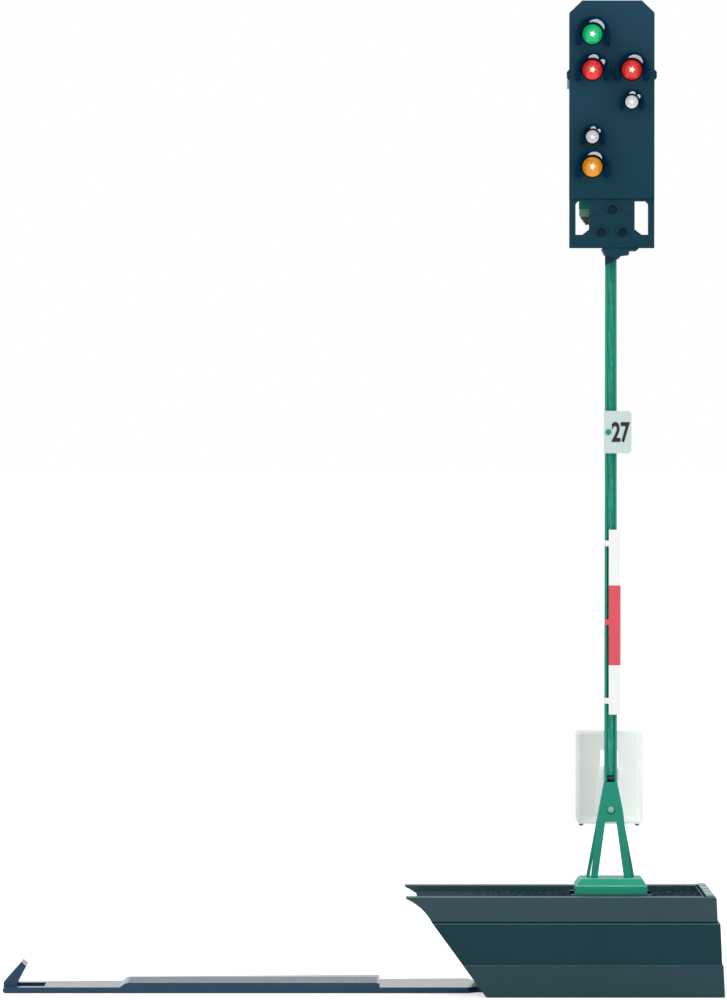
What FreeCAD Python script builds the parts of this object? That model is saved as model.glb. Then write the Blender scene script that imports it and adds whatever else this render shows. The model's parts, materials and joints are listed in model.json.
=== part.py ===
"""A colour-light exit signal for an H0 model railway, on a base that clips to moulded roadbed.

Millimetres, +Z up. The origin is on the mast's axis, in the plane of the base's underside.
The signal faces -Y, and the roadbed lies on the base's left, towards -X.
"""

import FreeCAD
import Part
import math
import os

# ---- clearances and fits ----
SLIDE_FIT = 0.05  # on each side of a piece that slides or plugs in
BOLT_FIT = 0.03  # around screws, pins and lens barrels
FACE_GAP = 0.02  # between flat faces that are set together

# ---- roadbed and the strip that runs under it ----
ROADBED_WIDTH = 40.0  # across the foot of the moulded roadbed
ROADBED_PLAY = 0.2  # left free between roadbed, hook and base
STRIP_THICKNESS = 0.5
STRIP_FRONT_Y = -3.3
STRIP_END_DEPTH = 5.3  # front to back at the hook
STRIP_BASE_DEPTH = 7.9  # front to back at the base
STRIP_NOSE = 1.17  # from the hook's inner face to the strip's left end
STRIP_MOUTH_GAP = 1.5  # from the strip's wide part to the foot of the base
PAD_HEIGHT = 0.36  # raised middle part that the roadbed's hollow sits over
PAD_LENGTH = 22.0
PAD_RAMP = 0.5
PAD_BASE_GAP = 9.15  # from the pad's right end to the foot of the base
TONGUE_DEPTH = 5.2  # front to back, the part that plugs in under the base
TONGUE_REACH = 7.4  # how far it reaches past the foot of the base
TONGUE_CHAMFER = 0.8
WINDOW_LENGTH = 2.35  # slot beside the hook
RAIL_DEPTH = 1.1  # strip left in front of and behind the slot
HOOK_HEIGHT = 2.6  # above the ground
HOOK_HEEL = 0.35  # straight part of its outer face, above the strip
HOOK_TOE = 0.25  # straight part of its inner face, above the strip
HOOK_TIP = 0.55  # thickness at the tip
HOOK_ANGLE = 48.5  # degrees from the ground, leaning in over the roadbed
HOOK_PIN_RADIUS = 0.12  # stands for the thin bending root

# ---- base, in three stacked mouldings ----
BASE_DEPTH = 14.0
BASE_RIGHT = 9.52  # from the mast's axis to the right end, at the ground
TRAY_HEIGHT = 2.75
RING_HEIGHT = 3.58
COVER_HEIGHT = 2.27
DRAFT = 0.045  # how far the right end leans in, for each millimetre of height
RING_STEP = 0.1  # how far the ring stands in from the tray at the right end
COVER_STEP = 0.22  # and the cover from the ring
FACE_STEP = 0.1  # the same at the front and the back
BASE_WALL = 1.2
RIGHT_WALL = 1.1
SLOPE_WALL = 1.6  # the sloping left wall, measured along X
TRAY_FLOOR = 0.9
DECK_THICKNESS = 1.25
DECK_RECESS = 0.15  # deck surface below the rims
SLOPE_FOOT = 10.96  # from the mast's axis to the foot of the slope
SLOPE_ANGLE = 53.94  # degrees from the ground
SHOULDER_HEIGHT = 2.24  # the hollow that holds the roadbed's shoulder
SHOULDER_REACH = 2.26  # how far it leans out over the slope's top
SHOULDER_SAG = 0.27
FIN_EDGE = 0.14  # thickness left at the tip of each fin
FIN_REACH = 1.0  # how far the front and back fins stand past the deck
COVER_ROUND = 0.2
INLAY_THICKNESS = 0.25
INLAY_SINK = 0.25  # the sheet's surface below the foot's seat
INLAY_GAP = 0.06
SCREW_INSET_X = 0.85  # from the inner face of the right wall
SCREW_INSET_Y = 0.65  # from the inner faces of the front and back walls
SCREW_LEFT = 8.0  # from the mast's axis to the left pair
BOSS_RADIUS = 1.0
SCREW_RADIUS = 0.35
SCREW_HEAD_RADIUS = 0.7
SCREW_HEAD_HEIGHT = 0.45
SCREW_TIP_DEPTH = 1.0  # how far the screws reach into the cover
INLET_WIDTH = 3.4
INLET_HEIGHT = 1.7

# ---- electronics in the base ----
BOARD_THICKNESS = 0.5
BOARD_STANDOFF = 0.6
BOARD_LEFT = 7.0
BOARD_END_GAP = 0.5
BOARD_SIDE_GAP = 0.65  # from the pillars of the screws
PAD_SIZE = 1.0
CHIP_SIZE = 2.6
CHIP_HEIGHT = 0.7
CHIP_GAP = 0.5  # from the socket to the chip and the cable socket
CAPACITOR_RADIUS = 0.55
CAPACITOR_LENGTH = 1.6
CABLE_SOCKET_SIZE = (2.9, 2.0, 1.4)

# ---- plug and socket ----
PLUG_WIDTH = 4.4
PLUG_DEPTH = 2.4
PLUG_LENGTH = 3.9
SOCKET_WALL = 0.75
SOCKET_FLOOR = 0.3
PIN_RADIUS = 0.15
PIN_LENGTH = 1.65
PIN_ROOT = 1.0
PIN_PITCH = 0.8
PIN_ROWS = 2
PIN_COLUMNS = 5
CONTACT_WALL = 0.13
CONTACT_LENGTH = 2.0

# ---- foot, legs and mast ----
FOOT_WIDTH = 6.2
FOOT_DEPTH = 4.3
FOOT_EDGE = 0.73
FOOT_BEVEL = 0.62
FOOT_BEVEL_INSET = 0.42
POCKET_GAP = 0.4
LEG_HEIGHT = 8.3
GUSSET_HEIGHT = 3.44
LEG_BEND = 2.5  # below the top, where the front frame's edge changes its slant
FRONT_LEG_FOOT = 1.74  # half-width of the front frame at the foot
FRONT_LEG_BEND = 1.06  # half-width at the bend
REAR_LEG_FOOT = 2.1
REAR_LEG_WIDTH = 0.3
CROTCH_HALF = 0.48
LEG_GAP_FOOT = 1.14  # half-width of the gap between the legs at the foot
FRAME_THICKNESS = 0.3
RIVET_RADIUS = 0.3
RIVET_HEAD = 0.16
RIVET_DROP = 2.4  # below the top of the legs
MAST_LENGTH = 46.35  # from the top of the legs to the head
MAST_FOOT_WIDTH = 1.1
MAST_TOP_WIDTH = 0.97
MAST_DEPTH = 0.86
MAST_FLANGE = 0.2
MAST_WEB = 0.18
MAST_HEAD_REACH = 4.15  # how far the mast runs up behind the lower panel
WIRE_RADIUS = 0.05
WIRE_PITCH = 0.11
WIRE_COUNT = 5
WIRE_DROP = 3.2  # how far the wires run down inside the legs

# ---- signs on the mast ----
SIGN_RISE = 5.86  # above the legs
SIGN_LENGTH = 16.08
SIGN_WIDTH = 1.03
SIGN_OFFSET = 0.33
SIGN_EDGE = 0.16
SIGN_SAG = 0.14
TAB_HEIGHT = 0.5
TAB_INSET = 1.2  # from the sign's ends to its end tabs
PLATE_RISE = 28.57
PLATE_HEIGHT = 3.69
PLATE_LEFT = 0.63
PLATE_RIGHT = 1.76
PLATE_THICKNESS = 0.25
PLATE_ROUND = 0.35
STRAP_THICKNESS = 0.25
STRAP_HEIGHT = 1.0
PEG_X = -0.25
PEG_RADIUS = 0.25
PEG_HEAD = 0.12
DIGIT_HEIGHT = 1.73
DIGIT_WIDTH = 0.68
DIGIT_STROKE = 0.25
DIGIT_GAP = 0.2
DIGIT_THICKNESS = 0.04
DIGITS_OFFSET = 0.82  # from the mast's axis to the middle of the two digits

# ---- cabinet behind the mast ----
CABINET_WIDTH = 5.8
CABINET_HEIGHT = 8.05
CABINET_DEPTH = 3.7
CABINET_RISE = 4.56  # above the foot plate
CABINET_WALL = 0.42  # at the back, and of the sides where they meet it
CABINET_RIM = 0.18  # of the sides at the open front
CABINET_ROUND = 0.35
CABINET_GAP = 0.15  # from the back of the leg frame
HATCH_WIDTH = 1.55
HATCH_HEIGHT = 1.43
HATCH_SHIFT = 0.06
JAW_THICKNESS = 0.25
JAW_HEIGHT = 0.97
JAW_RISE = 0.1  # above the top of the legs
CABINET_PEG_RADIUS = 0.21
CABINET_PEG_HEIGHT = 0.3
CABINET_PEG_X = 2.45

# ---- signal head ----
HEAD_HEIGHT = 21.4
HEAD_WIDTH = 7.35
SCREEN_HEIGHT = 17.15
SCREEN_THICKNESS = 0.6
SCREEN_FRONT_Y = -2.2
SCREEN_SKIRT = 0.6
SKIRT_WALL = 0.35
CORNER_WIDTH = 1.1
CORNER_HEIGHT = 1.05
LAMP_X = 1.7
GREEN_DROP = 2.92  # each lamp's height is given below the top of the screen
RED_DROP = 6.0
UPPER_WHITE_DROP = 8.77
LOWER_WHITE_DROP = 11.78
YELLOW_DROP = 14.38
LARGE_LENS = 0.875
SMALL_LENS = 0.565
LARGE_DOME = 0.32
SMALL_DOME = 0.08
LENS_FLANGE = 0.2
LENS_FLANGE_THICKNESS = 0.22
HOOD_LENGTH = 1.5
HOOD_SIDE_LENGTH = 0.85  # at the foot of its sides: the mouth slants back
HOOD_GAP = 0.1  # between a lens and the root of its hood
LARGE_HOOD_WALL = 0.5  # at the root
SMALL_HOOD_WALL = 0.375
HOOD_LIP = 0.15  # wall left at the mouth: a hood flares inside
HOOD_DROP_SHARE = 0.61  # how far the hood's sides reach below the middle of the lamp
LED_SIZE = 1.1
LED_HEIGHT = 0.5
HEAD_BOARD_THICKNESS = 0.4
HEAD_BOARD_GAP = 0.12
HOUSING_INSET = 0.1
HOUSING_WALL = 0.4
HOUSING_DEPTH = 1.38
HOUSING_POST_RADIUS = 0.3
CLIP_DROP = 6.4
CLIP_HEIGHT = 0.95
CLIP_REACH = 0.2
CLIP_DEPTH = 0.7

# ---- lower panel and what carries the head ----
PANEL_SETBACK = 0.15
PANEL_THICKNESS = 0.7
PANEL_HALF = 1.97
SIDE_BAR = 0.53
WINDOW_TOP_DROP = 0.2  # below the screen's lower edge
WINDOW_OUTER_HEIGHT = 2.9
WINDOW_INNER_HEIGHT = 2.43
WINDOW_ROUND = 0.25
PANEL_TONGUE = 0.8
PANEL_TONGUE_THICKNESS = 0.25
DIMPLE_RADIUS = 0.42
DIMPLE_DEPTH = 0.3
UPPER_DIMPLE = (0.05, 0.95)  # offset from the mast's axis, and drop below the screen
LOWER_DIMPLE = (0.92, 2.9)
COLLAR_LEFT = 0.85
COLLAR_RIGHT = 1.49
COLLAR_SHELF = 0.56  # height of its shelf
COLLAR_LIP_REACH = 2.35  # how far the thin lip runs to the right
COLLAR_LIP = 0.2
COLLAR_FLARE = 0.35  # how far the shelf's foot curves out from the mast
COLLAR_WALL = 0.16
COLLAR_EDGE = 0.06  # left of the side walls at their foot
COLLAR_TONGUE = 1.45  # length of the tongue down the mast's front
COLLAR_TONGUE_CUT = 0.6  # shorter at its right side
CARRIER_THICKNESS = 0.5
CARRIER_LEFT = 2.75
CARRIER_RIGHT = 1.6
CARRIER_DROP = 0.8  # below the screen's lower edge
CARRIER_RISE = 7.0
CARRIER_TONGUE_HALF = 0.48
CARRIER_TONGUE = 3.0
RESISTOR_BOARD_HEIGHT = 0.6
RESISTOR_HEIGHT = 0.7
RESISTOR_STEP = 0.13

# ---- levels that follow from the sizes above ----
RING_Z = TRAY_HEIGHT
COVER_Z = RING_Z + RING_HEIGHT
BASE_TOP = COVER_Z + COVER_HEIGHT
DECK_Z = BASE_TOP - DECK_RECESS
DECK_UNDERSIDE = DECK_Z - DECK_THICKNESS
FOOT_TOP = DECK_Z + FOOT_EDGE + FOOT_BEVEL
LEG_TOP = FOOT_TOP + LEG_HEIGHT
CROTCH_Z = LEG_TOP - GUSSET_HEIGHT
HEAD_Z = LEG_TOP + MAST_LENGTH
HEAD_TOP = HEAD_Z + HEAD_HEIGHT
SCREEN_Z = HEAD_TOP - SCREEN_HEIGHT
BOARD_Z = TRAY_FLOOR + BOARD_STANDOFF
BOARD_TOP = BOARD_Z + BOARD_THICKNESS
PLUG_Z = DECK_Z - PLUG_LENGTH
SOCKET_HALF_WIDTH = PLUG_WIDTH / 2 + SLIDE_FIT + SOCKET_WALL
SOCKET_HALF_DEPTH = PLUG_DEPTH / 2 + SLIDE_FIT + SOCKET_WALL
CONTACT_TOP = PLUG_Z - 2 * SLIDE_FIT
RING_RIGHT = BASE_RIGHT - TRAY_HEIGHT * DRAFT - RING_STEP
COVER_RIGHT = RING_RIGHT - RING_HEIGHT * DRAFT - COVER_STEP
INNER_RIGHT = COVER_RIGHT - COVER_HEIGHT * DRAFT - RIGHT_WALL
FRAME_FRONT_Y = -MAST_DEPTH / 2 - FACE_GAP - FRAME_THICKNESS
FRAME_BACK_Y = MAST_DEPTH / 2 + FACE_GAP + FRAME_THICKNESS
CABINET_Y = FRAME_BACK_Y + CABINET_GAP
CABINET_Z = FOOT_TOP + CABINET_RISE
SCREEN_BACK_Y = SCREEN_FRONT_Y + SCREEN_THICKNESS
LENS_BACK_Y = SCREEN_BACK_Y + FACE_GAP + LENS_FLANGE_THICKNESS
HEAD_BOARD_Y = LENS_BACK_Y + FACE_GAP + LED_HEIGHT
HOUSING_Y = SCREEN_BACK_Y + SCREEN_SKIRT + FACE_GAP
HOUSING_BACK_Y = HOUSING_Y + HOUSING_DEPTH
CARRIER_Y = max(HOUSING_BACK_Y, MAST_DEPTH / 2) + FACE_GAP
PANEL_Y = SCREEN_FRONT_Y + PANEL_SETBACK
PANEL_TOP = SCREEN_Z - FACE_GAP
WINDOW_TOP = SCREEN_Z - WINDOW_TOP_DROP


# ---- small helpers ----
def box(x0, x1, y0, y1, z0, z1):
    """A box between two corners."""
    return Part.makeBox(x1 - x0, y1 - y0, z1 - z0, FreeCAD.Vector(x0, y0, z0))


def prism_xz(outline, y0, y1):
    """A closed outline of (x, z) points, run from y0 to y1."""
    points = [FreeCAD.Vector(x, y0, z) for x, z in outline]
    face = Part.Face(Part.makePolygon(points + points[:1]))
    return face.extrude(FreeCAD.Vector(0, y1 - y0, 0))


def prism_xy(outline, z0, z1):
    """A closed outline of (x, y) points, run from z0 to z1."""
    points = [FreeCAD.Vector(x, y, z0) for x, y in outline]
    face = Part.Face(Part.makePolygon(points + points[:1]))
    return face.extrude(FreeCAD.Vector(0, 0, z1 - z0))


def rod_y(x, z, radius, y0, y1):
    """A round rod along Y."""
    start = FreeCAD.Vector(x, y0, z)
    return Part.makeCylinder(radius, y1 - y0, start, FreeCAD.Vector(0, 1, 0))


def rod_z(x, y, radius, z0, z1):
    """A round rod along Z."""
    return Part.makeCylinder(radius, z1 - z0, FreeCAD.Vector(x, y, z0))


def mirrored(outline):
    """The right half of an outline, from bottom to top, and its mirror image."""
    return outline + [(-x, z) for x, z in reversed(outline)]


def rounded_plate(x0, x1, z0, z1, y0, y1, radius, corners):
    """A plate in the XZ plane; corners says which of x0 and x1 are rounded."""
    plate = box(x0, x1, y0, y1, z0, z1)
    edges = []
    for edge in plate.Edges:
        middle = edge.CenterOfMass
        along_y = abs(edge.Vertexes[0].Point.y - edge.Vertexes[1].Point.y) > FACE_GAP
        if along_y and any(abs(middle.x - x) < FACE_GAP for x in corners):
            edges.append(edge)
    return plate.makeFillet(radius, edges)


def save(name, *solids):
    """Writes one node's solids."""
    shape = solids[0] if len(solids) == 1 else Part.makeCompound(list(solids))
    shape.exportStep(os.path.join("parts", name + ".step"))


# ---- base ----
def slope_x(z):
    """Where the sloping left face is at a height."""
    return -SLOPE_FOOT - z / math.tan(math.radians(SLOPE_ANGLE))


def fin_tip_x():
    """The left end of the fins."""
    return slope_x(BASE_TOP - SHOULDER_HEIGHT) - SHOULDER_REACH


def base_blank(right, depth):
    """The whole base's outer shape: a slope on the left, with a hollow shoulder above it."""
    shoulder_z = BASE_TOP - SHOULDER_HEIGHT
    start = FreeCAD.Vector(slope_x(shoulder_z), -depth / 2, shoulder_z)
    tip = FreeCAD.Vector(fin_tip_x(), -depth / 2, BASE_TOP - FIN_EDGE)
    chord = tip - start
    inward = FreeCAD.Vector(chord.z, 0, -chord.x).normalize() * SHOULDER_SAG
    arc = Part.Arc(start, (start + tip) * 0.5 + inward, tip).toShape()
    rest = Part.makePolygon(
        [
            tip,
            FreeCAD.Vector(tip.x, tip.y, BASE_TOP),
            FreeCAD.Vector(right, tip.y, BASE_TOP),
            FreeCAD.Vector(right, tip.y, 0),
            FreeCAD.Vector(-SLOPE_FOOT, tip.y, 0),
            start,
        ]
    )
    face = Part.Face(Part.Wire([arc] + rest.Edges))
    return face.extrude(FreeCAD.Vector(0, depth, 0))


def base_layer(z0, z1, right, depth):
    """One moulding of the base, before it is hollowed."""
    left = fin_tip_x() - 1
    outline = [(left, z0), (right, z0), (right - (z1 - z0) * DRAFT, z1), (left, z1)]
    return base_blank(right + 1, depth).common(prism_xz(outline, -depth, depth))


def base_hollow(z0, z1, depth):
    """The space inside the base's walls between two heights."""
    half = depth / 2 - BASE_WALL
    outline = [
        (slope_x(z0) + SLOPE_WALL, z0),
        (INNER_RIGHT, z0),
        (INNER_RIGHT, z1),
        (slope_x(z1) + SLOPE_WALL, z1),
    ]
    return prism_xz(outline, -half, half)


def ring_depth():
    """Front to back across the ring."""
    return BASE_DEPTH - 2 * FACE_STEP


def cover_depth():
    """Front to back across the cover."""
    return BASE_DEPTH - 4 * FACE_STEP


def screw_places():
    """The four screws, in pairs at the left and the right."""
    y = cover_depth() / 2 - BASE_WALL - SCREW_INSET_Y
    return [(x, s * y) for x in (-SCREW_LEFT, INNER_RIGHT - SCREW_INSET_X) for s in (-1, 1)]


def bosses(z0, z1):
    """The four pillars that the screws run through."""
    return [rod_z(x, y, BOSS_RADIUS, z0, z1) for x, y in screw_places()]


def screw_holes(radius, z0, z1):
    """A hole for each screw."""
    return [rod_z(x, y, radius, z0, z1) for x, y in screw_places()]


def board_outline():
    """The base board's left, right, front and back."""
    right = INNER_RIGHT - BOARD_END_GAP
    half = BASE_DEPTH / 2 - BASE_WALL - SCREW_INSET_Y - BOSS_RADIUS - BOARD_SIDE_GAP
    return -BOARD_LEFT, right, -half, half


def cable_socket_x():
    """The left and right sides of the cable socket."""
    left = SOCKET_HALF_WIDTH + CHIP_GAP
    return left, left + CABLE_SOCKET_SIZE[0]


def cable_inlet():
    """The hole in the back walls that the bus cable's plug goes through."""
    left = sum(cable_socket_x()) / 2 - INLET_WIDTH / 2
    front = BASE_DEPTH / 2 - BASE_WALL - 1
    return box(left, left + INLET_WIDTH, front, BASE_DEPTH, BOARD_TOP, BOARD_TOP + INLET_HEIGHT)


def base_tray():
    """The lowest moulding, with the strip's groove, the cable inlet and the board's pads."""
    tray = base_layer(0, RING_Z, BASE_RIGHT, BASE_DEPTH)
    tray = tray.cut(base_hollow(TRAY_FLOOR, RING_Z, BASE_DEPTH))
    left, right, front, back = board_outline()
    pads = []
    for x in (left, right - PAD_SIZE):
        for y in (front, back - PAD_SIZE):
            pads.append(box(x, x + PAD_SIZE, y, y + PAD_SIZE, TRAY_FLOOR, BOARD_Z))
    tray = tray.fuse(pads + bosses(TRAY_FLOOR, RING_Z))
    groove_y = TONGUE_DEPTH / 2 + SLIDE_FIT
    groove_end = TONGUE_REACH - SLOPE_FOOT + SLIDE_FIT
    groove_top = STRIP_THICKNESS + SLIDE_FIT
    groove = box(-SLOPE_FOOT - 1, groove_end, -groove_y, groove_y, -1, groove_top)
    heads = screw_holes(SCREW_HEAD_RADIUS + BOLT_FIT, -1, SCREW_HEAD_HEIGHT + FACE_GAP)
    shanks = screw_holes(SCREW_RADIUS + BOLT_FIT, -1, RING_Z + 1)
    return tray.cut([groove, cable_inlet()] + heads + shanks).removeSplitter()


def base_ring():
    """The middle moulding: four walls and the screw pillars."""
    ring = base_layer(RING_Z, COVER_Z, RING_RIGHT, ring_depth())
    ring = ring.cut(base_hollow(RING_Z, COVER_Z, ring_depth()))
    ring = ring.fuse(bosses(RING_Z, COVER_Z))
    shanks = screw_holes(SCREW_RADIUS + BOLT_FIT, RING_Z - 1, COVER_Z + 1)
    return ring.cut([cable_inlet()] + shanks).removeSplitter()


def deck_left_x():
    """The deck's left edge, between the fins."""
    return fin_tip_x() + FIN_REACH


def base_cover():
    """The top moulding: deck with raised rims, two fins, and the pocket for the foot."""
    depth = cover_depth()
    cover = base_layer(COVER_Z, BASE_TOP, COVER_RIGHT, depth)
    top_right = COVER_RIGHT - COVER_HEIGHT * DRAFT
    corner = [
        edge
        for edge in cover.Edges
        if edge.CenterOfMass.x > top_right - FACE_GAP
        and edge.CenterOfMass.z > BASE_TOP - FACE_GAP
    ]
    cover = cover.makeFillet(COVER_ROUND, corner)
    cover = cover.cut(base_hollow(COVER_Z, DECK_UNDERSIDE, depth))
    cover = cover.fuse(bosses(COVER_Z, DECK_UNDERSIDE + FACE_GAP))
    half = depth / 2 - BASE_WALL
    between_fins = box(fin_tip_x() - 1, deck_left_x(), -half, half, COVER_Z, BASE_TOP + 1)
    recess = box(
        deck_left_x() - 1, INNER_RIGHT, -half, half, inlay_z(), BASE_TOP + 1
    )
    seat = box(*foot_pocket(), inlay_z(), DECK_Z)
    recess = recess.cut(seat)
    pilots = screw_holes(
        SCREW_RADIUS + BOLT_FIT, COVER_Z - 1, COVER_Z + SCREW_TIP_DEPTH + BOLT_FIT
    )
    return cover.cut([between_fins, recess, plug_opening()] + pilots).removeSplitter()


def inlay_z():
    """The underside of the ballast sheet."""
    return DECK_Z - INLAY_SINK - INLAY_THICKNESS


def foot_pocket():
    """The left, right, front and back of the pocket that the foot plate stands in."""
    half_width = FOOT_WIDTH / 2 + POCKET_GAP
    half_depth = FOOT_DEPTH / 2 + POCKET_GAP
    return -half_width, half_width, -half_depth, half_depth


def plug_opening():
    """The opening in the deck that the plug passes through."""
    half_width = PLUG_WIDTH / 2 + SLIDE_FIT
    half_depth = PLUG_DEPTH / 2 + SLIDE_FIT
    return box(-half_width, half_width, -half_depth, half_depth, COVER_Z, BASE_TOP + 1)


def ballast_inlay():
    """The stone-textured sheet that lies in the deck's recess, round the foot's pocket."""
    half = cover_depth() / 2 - BASE_WALL - INLAY_GAP
    z0 = inlay_z()
    right = INNER_RIGHT - INLAY_GAP
    sheet = box(deck_left_x(), right, -half, half, z0, z0 + INLAY_THICKNESS)
    x0, x1, y0, y1 = foot_pocket()
    pocket = box(x0 - INLAY_GAP, x1 + INLAY_GAP, y0 - INLAY_GAP, y1 + INLAY_GAP, z0, DECK_Z)
    return sheet.cut(pocket)


def base_screws():
    """Four small screws from below, through the tray and the ring into the cover."""
    screws = []
    for x, y in screw_places():
        head = rod_z(x, y, SCREW_HEAD_RADIUS, FACE_GAP, SCREW_HEAD_HEIGHT)
        shank = rod_z(x, y, SCREW_RADIUS, FACE_GAP, COVER_Z + SCREW_TIP_DEPTH)
        cross = [
            box(x - a, x + a, y - b, y + b, 0, SCREW_HEAD_HEIGHT / 2)
            for a, b in (
                (SCREW_RADIUS, SCREW_RADIUS / 4),
                (SCREW_RADIUS / 4, SCREW_RADIUS),
            )
        ]
        screws.append(head.fuse(shank).cut(cross))
    return screws


# ---- electronics in the base ----
def base_board():
    """The circuit board on the tray's pads."""
    left, right, front, back = board_outline()
    return box(left, right, front, back, BOARD_Z, BOARD_TOP)


def decoder_chip():
    """The decoder, on the board's left half."""
    right = -SOCKET_HALF_WIDTH - CHIP_GAP
    half = CHIP_SIZE / 2
    return box(right - CHIP_SIZE, right, -half, half, BOARD_TOP, BOARD_TOP + CHIP_HEIGHT)


def board_capacitor():
    """A round capacitor standing on the board's right half."""
    x = sum(cable_socket_x()) / 2
    y = board_outline()[2] + CHIP_GAP + CAPACITOR_RADIUS
    return rod_z(x, y, CAPACITOR_RADIUS, BOARD_TOP, BOARD_TOP + CAPACITOR_LENGTH)


def cable_socket():
    """The socket for the bus cable, facing the inlet in the tray's back wall."""
    left, right = cable_socket_x()
    depth, height = CABLE_SOCKET_SIZE[1:]
    back = board_outline()[3]
    front = back - depth
    body = box(left, right, front, back, BOARD_TOP, BOARD_TOP + height)
    mouth = box(
        left + CONTACT_WALL * 2,
        right - CONTACT_WALL * 2,
        front + CONTACT_WALL * 4,
        back + 1,
        BOARD_TOP + CONTACT_WALL * 2,
        BOARD_TOP + height - CONTACT_WALL * 2,
    )
    return body.cut(mouth)


def pin_places():
    """The plug's pins, in rows."""
    places = []
    for row in range(PIN_ROWS):
        for column in range(PIN_COLUMNS):
            x = (column - (PIN_COLUMNS - 1) / 2) * PIN_PITCH
            y = (row - (PIN_ROWS - 1) / 2) * 1.5 * PIN_PITCH
            places.append((x, y))
    return places


def socket_block():
    """The moulded socket on the board, open at the top for the plug."""
    block = box(
        -SOCKET_HALF_WIDTH,
        SOCKET_HALF_WIDTH,
        -SOCKET_HALF_DEPTH,
        SOCKET_HALF_DEPTH,
        BOARD_TOP,
        DECK_UNDERSIDE - FACE_GAP,
    )
    half_width = PLUG_WIDTH / 2 + SLIDE_FIT
    half_depth = PLUG_DEPTH / 2 + SLIDE_FIT
    well = box(
        -half_width, half_width, -half_depth, half_depth, PLUG_Z - SLIDE_FIT, BASE_TOP
    )
    radius = PIN_RADIUS + BOLT_FIT + CONTACT_WALL + FACE_GAP
    holes = [rod_z(x, y, radius, BOARD_TOP + SOCKET_FLOOR, PLUG_Z) for x, y in pin_places()]
    return block.cut([well] + holes)


def socket_contacts():
    """One sleeve for each pin."""
    outer = PIN_RADIUS + BOLT_FIT + CONTACT_WALL
    sleeves = []
    for x, y in pin_places():
        z0 = CONTACT_TOP - CONTACT_LENGTH
        sleeve = rod_z(x, y, outer, z0, CONTACT_TOP)
        sleeves.append(sleeve.cut(rod_z(x, y, PIN_RADIUS + BOLT_FIT, z0, CONTACT_TOP)))
    return sleeves


# ---- strip under the roadbed, and its hook ----
def gap_left_x():
    """The hook's inner foot: one roadbed's width from the slope, at the strip's top."""
    return slope_x(STRIP_THICKNESS) - ROADBED_WIDTH - ROADBED_PLAY


def strip_back_y(x):
    """The strip's slanting back edge."""
    left = gap_left_x()
    right = -SLOPE_FOOT - STRIP_MOUTH_GAP
    share = (x - left) / (right - left)
    depth = STRIP_END_DEPTH + (STRIP_BASE_DEPTH - STRIP_END_DEPTH) * share
    return STRIP_FRONT_Y + depth


def hook_front_y():
    """The hook's front side; the strip's front rail runs on past it."""
    return STRIP_FRONT_Y + RAIL_DEPTH


def hook_back_y():
    """The hook's back side."""
    return strip_back_y(gap_left_x()) - RAIL_DEPTH


def hook_axis():
    """The line that the hook bends about: its x and z, in the strip's rounded nose."""
    return gap_left_x() - STRIP_NOSE + STRIP_THICKNESS / 2, STRIP_THICKNESS / 2


def track_strip():
    """The flat strip, with a raised pad, a slot beside the hook and a tongue for the base."""
    left = gap_left_x() - STRIP_NOSE
    wide_end = -SLOPE_FOOT - STRIP_MOUTH_GAP
    tongue_end = TONGUE_REACH - SLOPE_FOOT
    half = TONGUE_DEPTH / 2
    outline = [
        (left, STRIP_FRONT_Y),
        (wide_end, STRIP_FRONT_Y),
        (wide_end + TONGUE_CHAMFER, -half),
        (tongue_end - TONGUE_CHAMFER, -half),
        (tongue_end, TONGUE_CHAMFER - half),
        (tongue_end, half - TONGUE_CHAMFER),
        (tongue_end - TONGUE_CHAMFER, half),
        (wide_end + TONGUE_CHAMFER, half),
        (wide_end, strip_back_y(wide_end)),
        (left, strip_back_y(left)),
    ]
    strip = prism_xy(outline, 0, STRIP_THICKNESS)
    pad_right = -SLOPE_FOOT - PAD_BASE_GAP
    pad_left = pad_right - PAD_LENGTH
    pad_profile = [
        (pad_left - PAD_RAMP, STRIP_THICKNESS),
        (pad_left, STRIP_THICKNESS + PAD_HEIGHT),
        (pad_right, STRIP_THICKNESS + PAD_HEIGHT),
        (pad_right, STRIP_THICKNESS),
    ]
    pad = prism_xz(pad_profile, STRIP_FRONT_Y, BASE_DEPTH)
    strip = strip.fuse(pad.common(prism_xy(outline, 0, BASE_TOP)))
    hook_room = box(
        left - 1,
        gap_left_x() + WINDOW_LENGTH,
        hook_front_y() - SLIDE_FIT,
        hook_back_y() + SLIDE_FIT,
        -1,
        BASE_TOP,
    )
    strip = strip.cut(hook_room)
    nose_z = STRIP_THICKNESS / 2
    nose_x = left + nose_z
    nose = box(left - 1, nose_x, STRIP_FRONT_Y - 1, BASE_DEPTH, -1, BASE_TOP)
    nose = nose.cut(rod_y(nose_x, nose_z, nose_z, STRIP_FRONT_Y - 2, BASE_DEPTH + 1))
    bar_x, bar_z = hook_axis()
    hinge_pin = rod_y(bar_x, bar_z, HOOK_PIN_RADIUS, hook_front_y() - 1, hook_back_y() + 1)
    return strip.cut(nose).fuse(hinge_pin).removeSplitter()


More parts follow.
